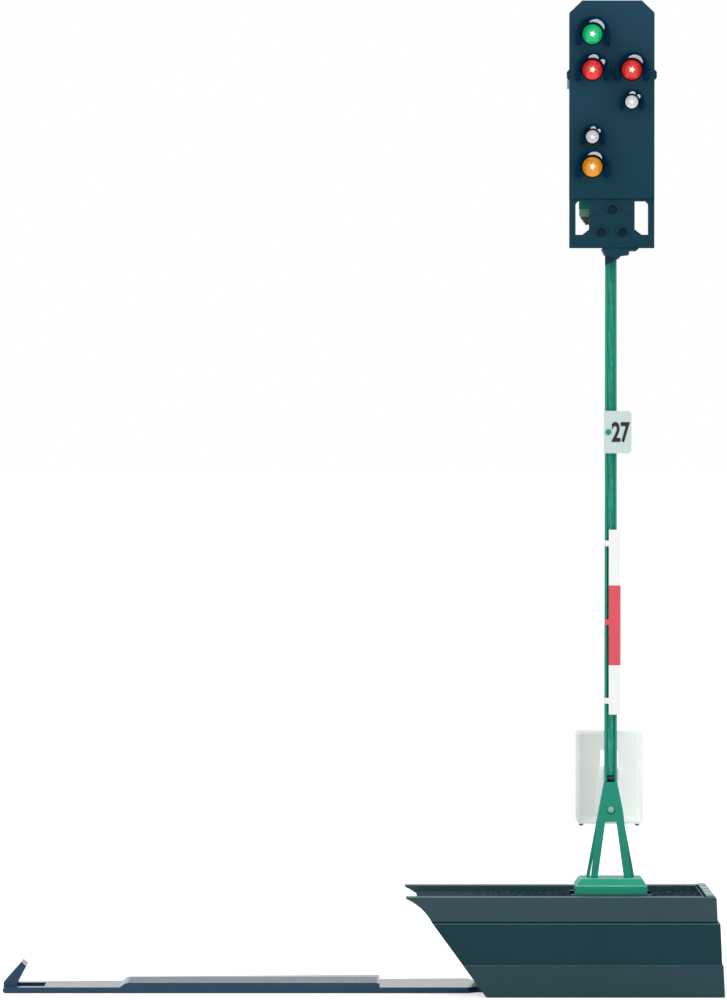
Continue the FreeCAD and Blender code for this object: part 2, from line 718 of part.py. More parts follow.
def edge_hook():
    """The sprung hook that catches the roadbed's far edge; it bends at its root."""
    x, z = hook_axis()
    radius = STRIP_THICKNESS / 2
    heel_z = STRIP_THICKNESS + HOOK_HEEL
    lean = math.radians(HOOK_ANGLE)
    tip_x = x - radius + (HOOK_HEIGHT - heel_z) / math.tan(lean)
    outline = [
        (x - radius, z),
        (x - radius, heel_z),
        (tip_x, HOOK_HEIGHT),
        (tip_x + HOOK_TIP * math.sin(lean), HOOK_HEIGHT - HOOK_TIP * math.cos(lean)),
        (gap_left_x(), STRIP_THICKNESS + HOOK_TOE),
        (gap_left_x(), STRIP_THICKNESS),
        (x + radius, z),
    ]
    front, back = hook_front_y(), hook_back_y()
    blade = prism_xz(outline, front, back)
    barrel = rod_y(x, z, radius, front, back)
    bore = rod_y(x, z, HOOK_PIN_RADIUS + BOLT_FIT, front - 1, back + 1)
    return blade.fuse(barrel).cut(bore).removeSplitter()


# ---- foot, plug, legs and mast ----
def foot_plate():
    """The mast's foot, with a bevelled edge."""
    half_width = FOOT_WIDTH / 2
    half_depth = FOOT_DEPTH / 2
    bevel_z = DECK_Z + FOOT_EDGE
    slab = box(-half_width, half_width, -half_depth, half_depth, DECK_Z, bevel_z)
    rims = []
    for inset, z in ((0, bevel_z), (FOOT_BEVEL_INSET, FOOT_TOP)):
        corners = [
            FreeCAD.Vector(a * (half_width - inset), b * (half_depth - inset), z)
            for a, b in ((-1, -1), (1, -1), (1, 1), (-1, 1))
        ]
        rims.append(Part.makePolygon(corners + corners[:1]))
    return slab.fuse(Part.makeLoft(rims, True, True)).removeSplitter()


def plug_block():
    """The plug under the foot plate."""
    half_width = PLUG_WIDTH / 2
    half_depth = PLUG_DEPTH / 2
    block = box(-half_width, half_width, -half_depth, half_depth, PLUG_Z, DECK_Z - FACE_GAP)
    holes = [
        rod_z(x, y, PIN_RADIUS + FACE_GAP, PLUG_Z - 1, PLUG_Z + PIN_ROOT + FACE_GAP)
        for x, y in pin_places()
    ]
    return block.cut(holes)


def plug_pins():
    """The plug's contact pins."""
    return [
        rod_z(x, y, PIN_RADIUS, PLUG_Z - PIN_LENGTH, PLUG_Z + PIN_ROOT)
        for x, y in pin_places()
    ]


def front_leg_frame():
    """The front of the A-shaped foot, with its gusset."""
    top_half = MAST_FOOT_WIDTH / 2
    outer = mirrored(
        [
            (FRONT_LEG_FOOT, FOOT_TOP),
            (FRONT_LEG_BEND, LEG_TOP - LEG_BEND),
            (top_half, LEG_TOP),
        ]
    )
    back = FRAME_FRONT_Y + FRAME_THICKNESS
    frame = prism_xz(outer, FRAME_FRONT_Y, back)
    gap = mirrored([(LEG_GAP_FOOT, FOOT_TOP), (CROTCH_HALF, CROTCH_Z)])
    hole = rod_y(0, LEG_TOP - RIVET_DROP, RIVET_RADIUS / 2 + BOLT_FIT, FRAME_FRONT_Y, back)
    return frame.cut([prism_xz(gap, FRAME_FRONT_Y, back), hole])


def rear_leg_frame():
    """The back of the A-shaped foot, whose slim legs stand further apart."""
    top_half = MAST_FOOT_WIDTH / 2
    outer = mirrored([(REAR_LEG_FOOT, FOOT_TOP), (top_half, LEG_TOP)])
    front = FRAME_BACK_Y - FRAME_THICKNESS
    frame = prism_xz(outer, front, FRAME_BACK_Y)
    share = (CROTCH_Z - FOOT_TOP) / LEG_HEIGHT
    crotch_outer = REAR_LEG_FOOT + (top_half - REAR_LEG_FOOT) * share
    gap = mirrored(
        [
            (REAR_LEG_FOOT - REAR_LEG_WIDTH, FOOT_TOP),
            (crotch_outer - REAR_LEG_WIDTH, CROTCH_Z),
        ]
    )
    return frame.cut(prism_xz(gap, front, FRAME_BACK_Y))


def gusset_rivet():
    """The domed rivet in the gusset."""
    z = LEG_TOP - RIVET_DROP
    shank = rod_y(0, z, RIVET_RADIUS / 2, FRAME_FRONT_Y, FRAME_FRONT_Y + FRAME_THICKNESS)
    sphere_radius = (RIVET_RADIUS**2 + RIVET_HEAD**2) / (2 * RIVET_HEAD)
    centre = FreeCAD.Vector(0, FRAME_FRONT_Y - RIVET_HEAD + sphere_radius, z)
    dome = Part.makeSphere(sphere_radius, centre)
    dome = dome.common(rod_y(0, z, RIVET_RADIUS, FRAME_FRONT_Y - RIVET_HEAD, FRAME_FRONT_Y))
    return shank.fuse(dome)


def mast_half_width(z):
    """Half the mast's width at a height: it tapers a little."""
    share = (z - LEG_TOP) / MAST_LENGTH
    return (MAST_FOOT_WIDTH + (MAST_TOP_WIDTH - MAST_FOOT_WIDTH) * max(share, 0)) / 2


def mast_channel():
    """The mast: a tapering channel, open to the front."""
    z0 = CROTCH_Z
    z1 = HEAD_Z + MAST_HEAD_REACH
    outer = mirrored(
        [(mast_half_width(LEG_TOP), z0), (mast_half_width(LEG_TOP), LEG_TOP)]
        + [(mast_half_width(z1), z1)]
    )
    inner = mirrored(
        [
            (mast_half_width(LEG_TOP) - MAST_FLANGE, z0),
            (mast_half_width(LEG_TOP) - MAST_FLANGE, LEG_TOP),
            (mast_half_width(z1) - MAST_FLANGE, z1),
        ]
    )
    half = MAST_DEPTH / 2
    return prism_xz(outer, -half, half).cut(prism_xz(inner, -half, half - MAST_WEB))


def mast_wires():
    """The lacquered wires that run up in the channel."""
    y = MAST_DEPTH / 2 - MAST_WEB - WIRE_RADIUS - FACE_GAP
    wires = []
    for n in range(WIRE_COUNT):
        x = (n - (WIRE_COUNT - 1) / 2) * WIRE_PITCH
        z1 = HEAD_Z + MAST_HEAD_REACH
        wires.append(rod_z(x, y, WIRE_RADIUS, LEG_TOP - WIRE_DROP, z1))
    return wires


# ---- signs ----
def mast_sign():
    """The long banded sign: slightly bowed, with three tabs to the mast's left flange."""
    back = -MAST_DEPTH / 2 - FACE_GAP
    x0 = SIGN_OFFSET - SIGN_WIDTH / 2
    x1 = SIGN_OFFSET + SIGN_WIDTH / 2
    z0 = LEG_TOP + SIGN_RISE
    left = FreeCAD.Vector(x0, back - SIGN_EDGE, z0)
    right = FreeCAD.Vector(x1, back - SIGN_EDGE, z0)
    crown = FreeCAD.Vector(SIGN_OFFSET, back - SIGN_EDGE - SIGN_SAG, z0)
    bow = Part.Arc(left, crown, right).toShape()
    sides = Part.makePolygon(
        [right, FreeCAD.Vector(x1, back, z0), FreeCAD.Vector(x0, back, z0), left]
    )
    face = Part.Face(Part.Wire([bow] + sides.Edges))
    sign = face.extrude(FreeCAD.Vector(0, 0, SIGN_LENGTH))
    tabs = []
    for middle in (TAB_INSET, SIGN_LENGTH / 2, SIGN_LENGTH - TAB_INSET):
        z = z0 + middle
        tab_left = -mast_half_width(z)
        half = TAB_HEIGHT / 2
        tabs.append(box(tab_left, x0 + SIGN_EDGE, back - SIGN_EDGE, back, z - half, z + half))
    return sign.fuse(tabs).removeSplitter()


def plate_levels():
    """The number plate's bottom, middle and top."""
    z0 = LEG_TOP + PLATE_RISE
    return z0, z0 + PLATE_HEIGHT / 2, z0 + PLATE_HEIGHT


def strap_front_y():
    """The front of the strap that carries the number plate."""
    return -MAST_DEPTH / 2 - FACE_GAP - STRAP_THICKNESS


def plate_strap():
    """A strap across the mast's flanges, behind the number plate."""
    z = plate_levels()[1]
    half = mast_half_width(z)
    front = strap_front_y()
    strap = box(
        -half, half, front, front + STRAP_THICKNESS, z - STRAP_HEIGHT / 2, z + STRAP_HEIGHT / 2
    )
    return strap.cut(rod_y(PEG_X, z, PEG_RADIUS / 2 + BOLT_FIT, front - 1, 0))


def plate_front_y():
    """The number plate's front face."""
    return strap_front_y() - FACE_GAP - PLATE_THICKNESS


def number_plate():
    """The number plate, rounded at its right corners."""
    z0, middle, z1 = plate_levels()
    y0 = plate_front_y()
    y1 = y0 + PLATE_THICKNESS
    plate = rounded_plate(-PLATE_LEFT, PLATE_RIGHT, z0, z1, y0, y1, PLATE_ROUND, [PLATE_RIGHT])
    return plate.cut(rod_y(PEG_X, middle, PEG_RADIUS / 2 + BOLT_FIT, y0 - 1, y1 + 1))


def number_plate_peg():
    """The peg that holds the plate to its strap."""
    z = plate_levels()[1]
    head = rod_y(PEG_X, z, PEG_RADIUS, plate_front_y() - PEG_HEAD, plate_front_y())
    end = strap_front_y() + STRAP_THICKNESS
    return head.fuse(rod_y(PEG_X, z, PEG_RADIUS / 2, plate_front_y() - PEG_HEAD, end))


def digit_bars(x0, z0, strokes):
    """A plain digit from straight strokes, each given by its two ends as shares of the digit."""
    y1 = plate_front_y()
    y0 = y1 - DIGIT_THICKNESS
    reach_x = DIGIT_WIDTH - DIGIT_STROKE
    reach_z = DIGIT_HEIGHT - DIGIT_STROKE
    half = DIGIT_STROKE / 2
    pieces = []
    for (ax, az), (bx, bz) in strokes:
        a = FreeCAD.Vector(x0 + half + ax * reach_x, y0, z0 + half + az * reach_z)
        b = FreeCAD.Vector(x0 + half + bx * reach_x, y0, z0 + half + bz * reach_z)
        along = (b - a).normalize() * half
        across = FreeCAD.Vector(-along.z, 0, along.x)
        corners = [
            a - along - across,
            b + along - across,
            b + along + across,
            a - along + across,
        ]
        pieces.append(prism_xz([(p.x, p.z) for p in corners], y0, y1))
    return pieces[0].fuse(pieces[1:]).removeSplitter()


def number_plate_digits():
    """A plain 2 and a plain 7, raised a little on the plate."""
    z0 = plate_levels()[1] - DIGIT_HEIGHT / 2
    left = DIGITS_OFFSET - DIGIT_WIDTH - DIGIT_GAP / 2
    right = DIGITS_OFFSET + DIGIT_GAP / 2
    two = [
        ((0, 1), (1, 1)),
        ((1, 1), (1, 0.5)),
        ((1, 0.5), (0, 0.5)),
        ((0, 0.5), (0, 0)),
        ((0, 0), (1, 0)),
    ]
    seven = [((0, 1), (1, 1)), ((1, 1), (0.35, 0))]
    return [digit_bars(left, z0, two), digit_bars(right, z0, seven)]


# ---- cabinet ----
def cabinet_shell():
    """The cabinet: a drafted tray, open to the front, with a hatch and two jaws for the mast."""
    half = CABINET_WIDTH / 2
    y1 = CABINET_Y + CABINET_DEPTH
    z1 = CABINET_Z + CABINET_HEIGHT
    shell = rounded_plate(
        -half, half, CABINET_Z, z1, CABINET_Y, y1, CABINET_ROUND, [-half, half]
    )
    wall = CABINET_WALL
    rims = []
    for inset, y in ((CABINET_RIM, CABINET_Y), (wall, y1 - wall)):
        x, low, high = half - inset, CABINET_Z + inset, z1 - inset
        corners = [(-x, low), (x, low), (x, high), (-x, high), (-x, low)]
        rims.append(Part.makePolygon([FreeCAD.Vector(a, y, b) for a, b in corners]))
    hollow = Part.makeLoft(rims, True, True)
    hatch_z = LEG_TOP + JAW_RISE + JAW_HEIGHT
    hatch_x = HATCH_SHIFT - HATCH_WIDTH / 2
    hatch = box(
        hatch_x, hatch_x + HATCH_WIDTH, y1 - wall - 1, y1 + 1, hatch_z, hatch_z + HATCH_HEIGHT
    )
    jaws = []
    inner = mast_half_width(LEG_TOP) + SLIDE_FIT
    z0 = LEG_TOP + JAW_RISE
    for side in (-1, 1):
        x0, x1 = sorted((side * inner, side * (inner + JAW_THICKNESS)))
        jaws.append(box(x0, x1, 0, y1 - wall, z0, z0 + JAW_HEIGHT))
    return shell.cut(hollow).cut(hatch).fuse(jaws).removeSplitter()


def cabinet_pegs():
    """Two short round feet under the cabinet."""
    y = CABINET_Y + CABINET_DEPTH / 2
    z0 = CABINET_Z - CABINET_PEG_HEIGHT
    return [
        rod_z(x, y, CABINET_PEG_RADIUS, z0, CABINET_Z) for x in (-CABINET_PEG_X, CABINET_PEG_X)
    ]


# ---- signal head ----
def screen_outline(inset, bottom):
    """The screen's outline with its cut top corners."""
    half = HEAD_WIDTH / 2 - inset
    top = HEAD_TOP - inset
    return mirrored(
        [
            (half, bottom),
            (half, HEAD_TOP - CORNER_HEIGHT - inset * 0.4),
            (HEAD_WIDTH / 2 - CORNER_WIDTH - inset * 0.4, top),
        ]
    )


def lamps():
    """Each lamp's name, x, z, lens radius and dome height."""
    large = (LARGE_LENS, LARGE_DOME)
    small = (SMALL_LENS, SMALL_DOME)
    return [
        ("green", -LAMP_X, HEAD_TOP - GREEN_DROP) + large,
        ("red_left", -LAMP_X, HEAD_TOP - RED_DROP) + large,
        ("red_right", LAMP_X, HEAD_TOP - RED_DROP) + large,
        ("white_upper", LAMP_X, HEAD_TOP - UPPER_WHITE_DROP) + small,
        ("white_lower", -LAMP_X, HEAD_TOP - LOWER_WHITE_DROP) + small,
        ("yellow", -LAMP_X, HEAD_TOP - YELLOW_DROP) + large,
    ]


def signal_screen():
    """The black-out screen, with a skirt round its sides and top and a hole for each lens."""
    plate = prism_xz(screen_outline(0, SCREEN_Z), SCREEN_FRONT_Y, SCREEN_BACK_Y)
    skirt_end = SCREEN_BACK_Y + SCREEN_SKIRT
    skirt = prism_xz(screen_outline(0, SCREEN_Z), SCREEN_BACK_Y, skirt_end)
    room = prism_xz(screen_outline(SKIRT_WALL, SCREEN_Z - 1), SCREEN_BACK_Y, skirt_end)
    holes = [
        rod_y(x, z, radius + BOLT_FIT, SCREEN_FRONT_Y - 1, SCREEN_BACK_Y + 1)
        for _, x, z, radius, _ in lamps()
    ]
    return plate.fuse(skirt.cut(room)).cut(holes).removeSplitter()


def lamp_hood(x, z, radius):
    """An arched hood that flares towards its slanting mouth, with sides beside the lens."""
    root = radius + HOOD_GAP
    outer = root + (LARGE_HOOD_WALL if radius == LARGE_LENS else SMALL_HOOD_WALL)
    y1 = SCREEN_FRONT_Y - FACE_GAP
    y0 = y1 - HOOD_LENGTH
    bottom = z - outer * HOOD_DROP_SHARE
    arch = rod_y(x, z, outer, y0, y1).fuse(box(x - outer, x + outer, y0, y1, bottom, z))
    axis = FreeCAD.Vector(0, 1, 0)
    flare = Part.makeCone(outer - HOOD_LIP, root, HOOD_LENGTH, FreeCAD.Vector(x, y0, z), axis)
    room = box(x - root, x + root, y0 - 1, y1 + 1, bottom - outer, z)
    below = box(x - 2 * outer, x + 2 * outer, y0 - 1, y1 + 1, z - 2 * outer, bottom)
    reach = 2 * outer
    slant = [(y0 - 1, z), (y0, z), (y1 - HOOD_SIDE_LENGTH, bottom), (y0 - 1, bottom)]
    corners = [FreeCAD.Vector(x - reach, y, height) for y, height in slant]
    mouth = Part.Face(Part.makePolygon(corners + corners[:1]))
    mouth = mouth.extrude(FreeCAD.Vector(2 * reach, 0, 0))
    return arch.cut([flare, room, below, mouth]).removeSplitter()


def lens(x, z, radius, dome):
    """A clear lens: a flange behind the screen, a barrel through it and a domed front."""
    flange = rod_y(x, z, radius + LENS_FLANGE, SCREEN_BACK_Y + FACE_GAP, LENS_BACK_Y)
    barrel = rod_y(x, z, radius, SCREEN_FRONT_Y, LENS_BACK_Y)
    sphere_radius = (radius**2 + dome**2) / (2 * dome)
    centre = FreeCAD.Vector(x, SCREEN_FRONT_Y - dome + sphere_radius, z)
    cap = Part.makeSphere(sphere_radius, centre)
    cap = cap.common(rod_y(x, z, radius, SCREEN_FRONT_Y - dome, SCREEN_FRONT_Y))
    return barrel.fuse([flange, cap]).removeSplitter()


def head_leds():
    """One light-emitting diode behind each lens."""
    half = LED_SIZE / 2
    y0 = HEAD_BOARD_Y - LED_HEIGHT
    return [
        box(x - half, x + half, y0, HEAD_BOARD_Y, z - half * 0.6, z + half * 0.6)
        for _, x, z, _, _ in lamps()
    ]


def head_board():
    """The circuit board in the head."""
    inset = HOUSING_INSET + HOUSING_WALL + HEAD_BOARD_GAP
    outline = screen_outline(inset, SCREEN_Z + inset)
    return prism_xz(outline, HEAD_BOARD_Y, HEAD_BOARD_Y + HEAD_BOARD_THICKNESS)


def rear_housing():
    """The back of the head, with four posts behind the board."""
    outer = prism_xz(
        screen_outline(HOUSING_INSET, SCREEN_Z + HOUSING_INSET), HOUSING_Y, HOUSING_BACK_Y
    )
    inset = HOUSING_INSET + HOUSING_WALL
    hollow_end = HOUSING_BACK_Y - HOUSING_WALL
    hollow = prism_xz(screen_outline(inset, SCREEN_Z + inset), HOUSING_Y - 1, hollow_end)
    post_y = HEAD_BOARD_Y + HEAD_BOARD_THICKNESS
    posts = [
        rod_y(x, z, HOUSING_POST_RADIUS, post_y, hollow_end)
        for x in (-LAMP_X, LAMP_X)
        for z in (HEAD_TOP - GREEN_DROP, HEAD_TOP - YELLOW_DROP)
    ]
    return outer.cut(hollow).fuse(posts).removeSplitter()


def side_clips():
    """The two small catches that join the screen to the housing at its sides."""
    z1 = HEAD_TOP - CLIP_DROP + CLIP_HEIGHT / 2
    z0 = z1 - CLIP_HEIGHT
    y0 = SCREEN_BACK_Y - CLIP_DEPTH / 2
    clips = []
    for side in (-1, 1):
        inner = side * (HEAD_WIDTH / 2 + FACE_GAP)
        outer = inner + side * CLIP_REACH
        outline = [
            (inner, z0),
            (outer, z0 + CLIP_REACH),
            (outer, z1 - CLIP_REACH),
            (inner, z1),
        ]
        clips.append(prism_xz(outline, y0, y0 + CLIP_DEPTH))
    return clips


# ---- lower panel and what carries the head ----
def panel_window(side):
    """One window beside the lower panel; its sill rises towards the middle."""
    inner = side * PANEL_HALF
    outer = side * (HEAD_WIDTH / 2 - SIDE_BAR)
    outline = [
        (inner, WINDOW_TOP),
        (inner, WINDOW_TOP - WINDOW_INNER_HEIGHT),
        ((inner + outer) / 2, WINDOW_TOP - WINDOW_OUTER_HEIGHT),
        (outer, WINDOW_TOP - WINDOW_OUTER_HEIGHT),
        (outer, WINDOW_TOP - WINDOW_ROUND),
        (outer - side * WINDOW_ROUND, WINDOW_TOP),
    ]
    return prism_xz(outline, PANEL_Y - 1, PANEL_Y + PANEL_THICKNESS + 1)


def lower_panel():
    """The panel under the screen: side bars, two windows and three blind lamps."""
    half = HEAD_WIDTH / 2
    back = PANEL_Y + PANEL_THICKNESS
    panel = box(-half, half, PANEL_Y, back, HEAD_Z, PANEL_TOP)
    tongue_half = half - SKIRT_WALL - SLIDE_FIT
    tongue_y = SCREEN_BACK_Y + FACE_GAP
    tongue = box(
        -tongue_half,
        tongue_half,
        tongue_y,
        tongue_y + PANEL_TONGUE_THICKNESS,
        SCREEN_Z - FACE_GAP,
        SCREEN_Z + PANEL_TONGUE,
    )
    root = box(-tongue_half, tongue_half, tongue_y, back, WINDOW_TOP, SCREEN_Z)
    dimples = []
    for x, drop in (UPPER_DIMPLE, LOWER_DIMPLE, (-LOWER_DIMPLE[0], LOWER_DIMPLE[1])):
        z = SCREEN_Z - drop
        dimples.append(rod_y(x, z, DIMPLE_RADIUS, PANEL_Y, PANEL_Y + DIMPLE_DEPTH))
    panel = panel.cut([panel_window(-1), panel_window(1)] + dimples)
    return panel.fuse([root, tongue]).removeSplitter()


def mast_collar():
    """The collar at the mast's top: a shelf, a thin lip, and a tongue down the mast's front."""
    z1 = HEAD_Z - FACE_GAP
    foot = z1 - COLLAR_SHELF
    half = mast_half_width(HEAD_Z) + SLIDE_FIT
    wall = half + COLLAR_EDGE
    room_y = MAST_DEPTH / 2 + SLIDE_FIT
    outline = [
        (-COLLAR_LEFT, z1),
        (-wall, foot),
        (wall, foot - COLLAR_FLARE),
        (wall + COLLAR_FLARE / 3, foot - COLLAR_FLARE / 2),
        (wall + COLLAR_FLARE, foot - COLLAR_FLARE / 8),
        (COLLAR_RIGHT, foot),
        (COLLAR_RIGHT, z1 - COLLAR_LIP),
        (COLLAR_LIP_REACH - COLLAR_LIP, z1 - COLLAR_LIP),
        (COLLAR_LIP_REACH, z1),
    ]
    collar = prism_xz(outline, PANEL_Y, room_y + COLLAR_WALL)
    tip = z1 - COLLAR_TONGUE
    tongue = [(-half, foot), (-half, tip), (half, tip + COLLAR_TONGUE_CUT), (half, foot)]
    collar = collar.fuse(prism_xz(tongue, -room_y - 2 * COLLAR_WALL, -room_y))
    room = box(-half, half, -room_y, room_y, tip - 1, z1 + 1)
    return collar.cut(room).removeSplitter()


def head_carrier():
    """The plate behind the mast and the housing, with a tongue down the mast's back."""
    z0 = SCREEN_Z - CARRIER_DROP
    y1 = CARRIER_Y + CARRIER_THICKNESS
    plate = box(-CARRIER_LEFT, CARRIER_RIGHT, CARRIER_Y, y1, z0, SCREEN_Z + CARRIER_RISE)
    half = CARRIER_TONGUE_HALF
    tongue = box(-half, half, CARRIER_Y, y1, z0 - CARRIER_TONGUE, z0)
    return plate.fuse(tongue).removeSplitter()


def resistor_board():
    """The small board of series resistors at the carrier's left foot."""
    z1 = SCREEN_Z - CARRIER_DROP - FACE_GAP
    right = -CARRIER_TONGUE_HALF - SLIDE_FIT
    y1 = CARRIER_Y + CARRIER_THICKNESS
    return box(
        -CARRIER_LEFT + FACE_GAP, right, CARRIER_Y, y1, z1 - RESISTOR_BOARD_HEIGHT, z1
    )


def resistor_pack():
    """The resistors under their board, stepped down towards the mast."""
    z1 = SCREEN_Z - CARRIER_DROP - 2 * FACE_GAP - RESISTOR_BOARD_HEIGHT
    right = -CARRIER_TONGUE_HALF - SLIDE_FIT
    outline = [(right, z1), (-CARRIER_LEFT + RESISTOR_STEP, z1)]
    for n in range(1, 4):
        x = -CARRIER_LEFT + n * RESISTOR_STEP
        z = z1 - n * RESISTOR_HEIGHT / 4
        outline += [(x, z), (x + RESISTOR_STEP, z)]
    outline += [(-CARRIER_LEFT + 4 * RESISTOR_STEP, z1 - RESISTOR_HEIGHT)]
    outline += [(right, z1 - RESISTOR_HEIGHT)]
    return prism_xz(outline, CARRIER_Y, CARRIER_Y + CARRIER_THICKNESS)


def main():
    """Builds every piece and writes each to its own file."""
    os.makedirs("parts", exist_ok=True)
    save("base_tray", base_tray())
    save("base_ring", base_ring())
    save("base_cover", base_cover())
    save("ballast_inlay", ballast_inlay())
    save("base_screws", *base_screws())
    save("base_board", base_board())
    save("decoder_chip", decoder_chip())
    save("board_capacitor", board_capacitor())
    save("cable_socket", cable_socket())
    save("socket_block", socket_block())
    save("socket_contacts", *socket_contacts())
    save("track_strip", track_strip())
    save("edge_hook", edge_hook())
    save("foot_plate", foot_plate())
    save("plug_block", plug_block())
    save("plug_pins", *plug_pins())
    save("front_leg_frame", front_leg_frame())
    save("rear_leg_frame", rear_leg_frame())
    save("gusset_rivet", gusset_rivet())
    save("mast_channel", mast_channel())
    save("mast_wires", *mast_wires())
    save("mast_sign", mast_sign())
    save("plate_strap", plate_strap())
    save("number_plate", number_plate())
    save("number_plate_peg", number_plate_peg())
    save("number_plate_digits", *number_plate_digits())
    save("cabinet_shell", cabinet_shell())
    save("cabinet_pegs", *cabinet_pegs())
    save("signal_screen", signal_screen())
    for name, x, z, radius, dome in lamps():
        save("lens_" + name, lens(x, z, radius, dome))
        save("hood_" + name, lamp_hood(x, z, radius))
    save("head_leds", *head_leds())
    save("head_board", head_board())
    save("rear_housing", rear_housing())
    save("side_clips", *side_clips())
    save("lower_panel", lower_panel())
    save("mast_collar", mast_collar())
    save("head_carrier", head_carrier())
    save("resistor_board", resistor_board())
    save("resistor_pack", resistor_pack())


main()
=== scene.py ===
"""Looks for an H0 colour-light exit signal: materials, softened mouldings and fine detail.

Everything is in metres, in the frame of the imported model. The signal faces -Y.
"""

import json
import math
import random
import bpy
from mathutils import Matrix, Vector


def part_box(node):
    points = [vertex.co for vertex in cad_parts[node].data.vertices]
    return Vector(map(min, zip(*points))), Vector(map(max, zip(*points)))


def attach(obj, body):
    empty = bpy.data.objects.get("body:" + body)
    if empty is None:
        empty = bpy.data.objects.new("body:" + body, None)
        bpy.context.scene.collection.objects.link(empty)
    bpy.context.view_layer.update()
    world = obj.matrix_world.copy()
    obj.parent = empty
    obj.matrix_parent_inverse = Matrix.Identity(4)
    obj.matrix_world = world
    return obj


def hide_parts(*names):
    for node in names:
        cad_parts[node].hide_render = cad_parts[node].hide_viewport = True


bl_info = {
    "name": "Model signal mast",
    "version": (1, 0, 0),
    "blender": (4, 5, 0),
    "location": "3D View > Sidebar > Signal",
    "description": "Builds the looks of a model colour-light signal around its packed frame",
    "category": "Add Mesh",
}

import bmesh
import bpy
from bpy.props import FloatProperty, FloatVectorProperty, IntProperty, PointerProperty
from mathutils import Matrix, Vector

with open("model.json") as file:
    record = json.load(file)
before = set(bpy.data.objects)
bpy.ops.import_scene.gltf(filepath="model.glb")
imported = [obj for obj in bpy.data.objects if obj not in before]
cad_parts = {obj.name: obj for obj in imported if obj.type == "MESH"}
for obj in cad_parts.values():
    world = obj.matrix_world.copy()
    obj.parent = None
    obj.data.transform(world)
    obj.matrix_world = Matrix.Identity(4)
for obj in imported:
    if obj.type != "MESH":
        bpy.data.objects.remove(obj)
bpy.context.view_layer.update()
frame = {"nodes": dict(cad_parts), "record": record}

MM = 0.001
MERGE = 0.0005 * MM  # points nearer than this are one point
# each lamp with the tint of its lens
LAMPS = {
    "green": "green",
    "red_left": "red",
    "red_right": "red",
    "yellow": "yellow",
    "white_upper": "white",
    "white_lower": "white",
}
# the crescents inside each hood that carry a painted highlight, from one angle to another, in
# degrees
FACETS = {
    "green": ((20, 106),),
    "red_left": ((60, 110), (24, 50)),
    "red_right": ((30, 108),),
    "white_upper": ((64, 110), (22, 52)),
    "white_lower": ((66, 106), (26, 56)),
    "yellow": ((40, 112),),
}


# ---- colour, nodes and materials ----
def linear(code):
    """An sRGB hex colour as linear red, green and blue."""
    channels = [int(code[n : n + 2], 16) / 255 for n in (1, 3, 5)]
    return tuple(
        c / 12.92 if c <= 0.04045 else ((c + 0.055) / 1.055) ** 2.4 for c in channels
    )


def add_node(material, kind, settings=None, inputs=None):
    """Adds a node with its settings; an input is given a value, or another node's output."""
    tree = material.node_tree
    node = tree.nodes.new(kind)
    for name, value in (settings or {}).items():
        setattr(node, name, value)
    for name, value in (inputs or {}).items():
        if isinstance(value, bpy.types.NodeSocket):
            tree.links.new(value, node.inputs[name])
        else:
            node.inputs[name].default_value = value
    return node


def new_material(name, shader):
    """A material whose Principled shader has the given plain values."""
    material = bpy.data.materials.new(name)
    material.use_nodes = True
    material.node_tree.nodes.clear()
    surface = add_node(material, "ShaderNodeBsdfPrincipled", {"name": "surface"}, shader)
    add_node(
        material, "ShaderNodeOutputMaterial", None, {"Surface": surface.outputs["BSDF"]}
    )
    return material, surface


def spread(colour, amount):
    """The colour a share darker and the same share lighter, for mottling."""
    darker = [c * (1 - amount) for c in colour] + [1.0]
    lighter = [min(1.0, c * (1 + amount)) for c in colour] + [1.0]
    return darker, lighter


def mottled(name, colour, roughness, grain_mm, bump_mm, cloud_mm=3.0, amount=0.12, **shader):
    """A surface with clouds of slightly uneven colour, a fine grain and uneven gloss.

    grain_mm is the size of the moulding's or paint's grain, and bump_mm its depth.
    """
    material, surface = new_material(name, {key.replace("_", " "): v for key, v in shader.items()})
    place = add_node(material, "ShaderNodeTexCoord").outputs["Object"]
    clouds = add_node(
        material,
        "ShaderNodeTexNoise",
        None,
        {"Vector": place, "Scale": 1 / (cloud_mm * MM), "Detail": 4.0},
    )
    darker, lighter = spread(colour, amount)
    tint = add_node(
        material,
        "ShaderNodeMix",
        {"data_type": "RGBA"},
        {0: clouds.outputs["Fac"], 6: darker, 7: lighter},
    )
    grain = add_node(
        material,
        "ShaderNodeTexNoise",
        None,
        {"Vector": place, "Scale": 1 / (grain_mm * MM), "Detail": 3.0},
    )
    gloss = add_node(
        material,
        "ShaderNodeMapRange",
        None,
        {
            "Value": grain.outputs["Fac"],
            "To Min": max(0.02, roughness - 0.08),
            "To Max": roughness + 0.08,
        },
    )
    relief = add_node(
        material,
        "ShaderNodeBump",
        None,
        {"Height": grain.outputs["Fac"], "Distance": bump_mm * MM, "Strength": 1.0},
    )
    links = material.node_tree.links
    links.new(tint.outputs[2], surface.inputs["Base Color"])
    links.new(gloss.outputs["Result"], surface.inputs["Roughness"])
    links.new(relief.outputs["Normal"], surface.inputs["Normal"])
    return material, surface, tint, place


def slate_moulding(name, colour):
    """Moulded polystyrene, satin, with faint level flow lines from the mould."""
    material, surface, tint, place = mottled(
        name, colour, 0.42, 0.12, 0.006, cloud_mm=5.0, Specular_IOR_Level=0.2
    )
    drawn = add_node(
        material, "ShaderNodeMapping", None, {"Vector": place, "Scale": (0.02, 0.02, 1.0)}
    )
    lines = add_node(
        material,
        "ShaderNodeTexNoise",
        None,
        {"Vector": drawn.outputs["Vector"], "Scale": 1 / (0.16 * MM), "Detail": 2.0},
    )
    shade = add_node(
        material,
        "ShaderNodeMix",
        {"data_type": "RGBA", "blend_type": "MULTIPLY"},
        {0: 0.14, 6: tint.outputs[2], 7: lines.outputs["Fac"]},
    )
    material.node_tree.links.new(shade.outputs[2], surface.inputs["Base Color"])
    return material


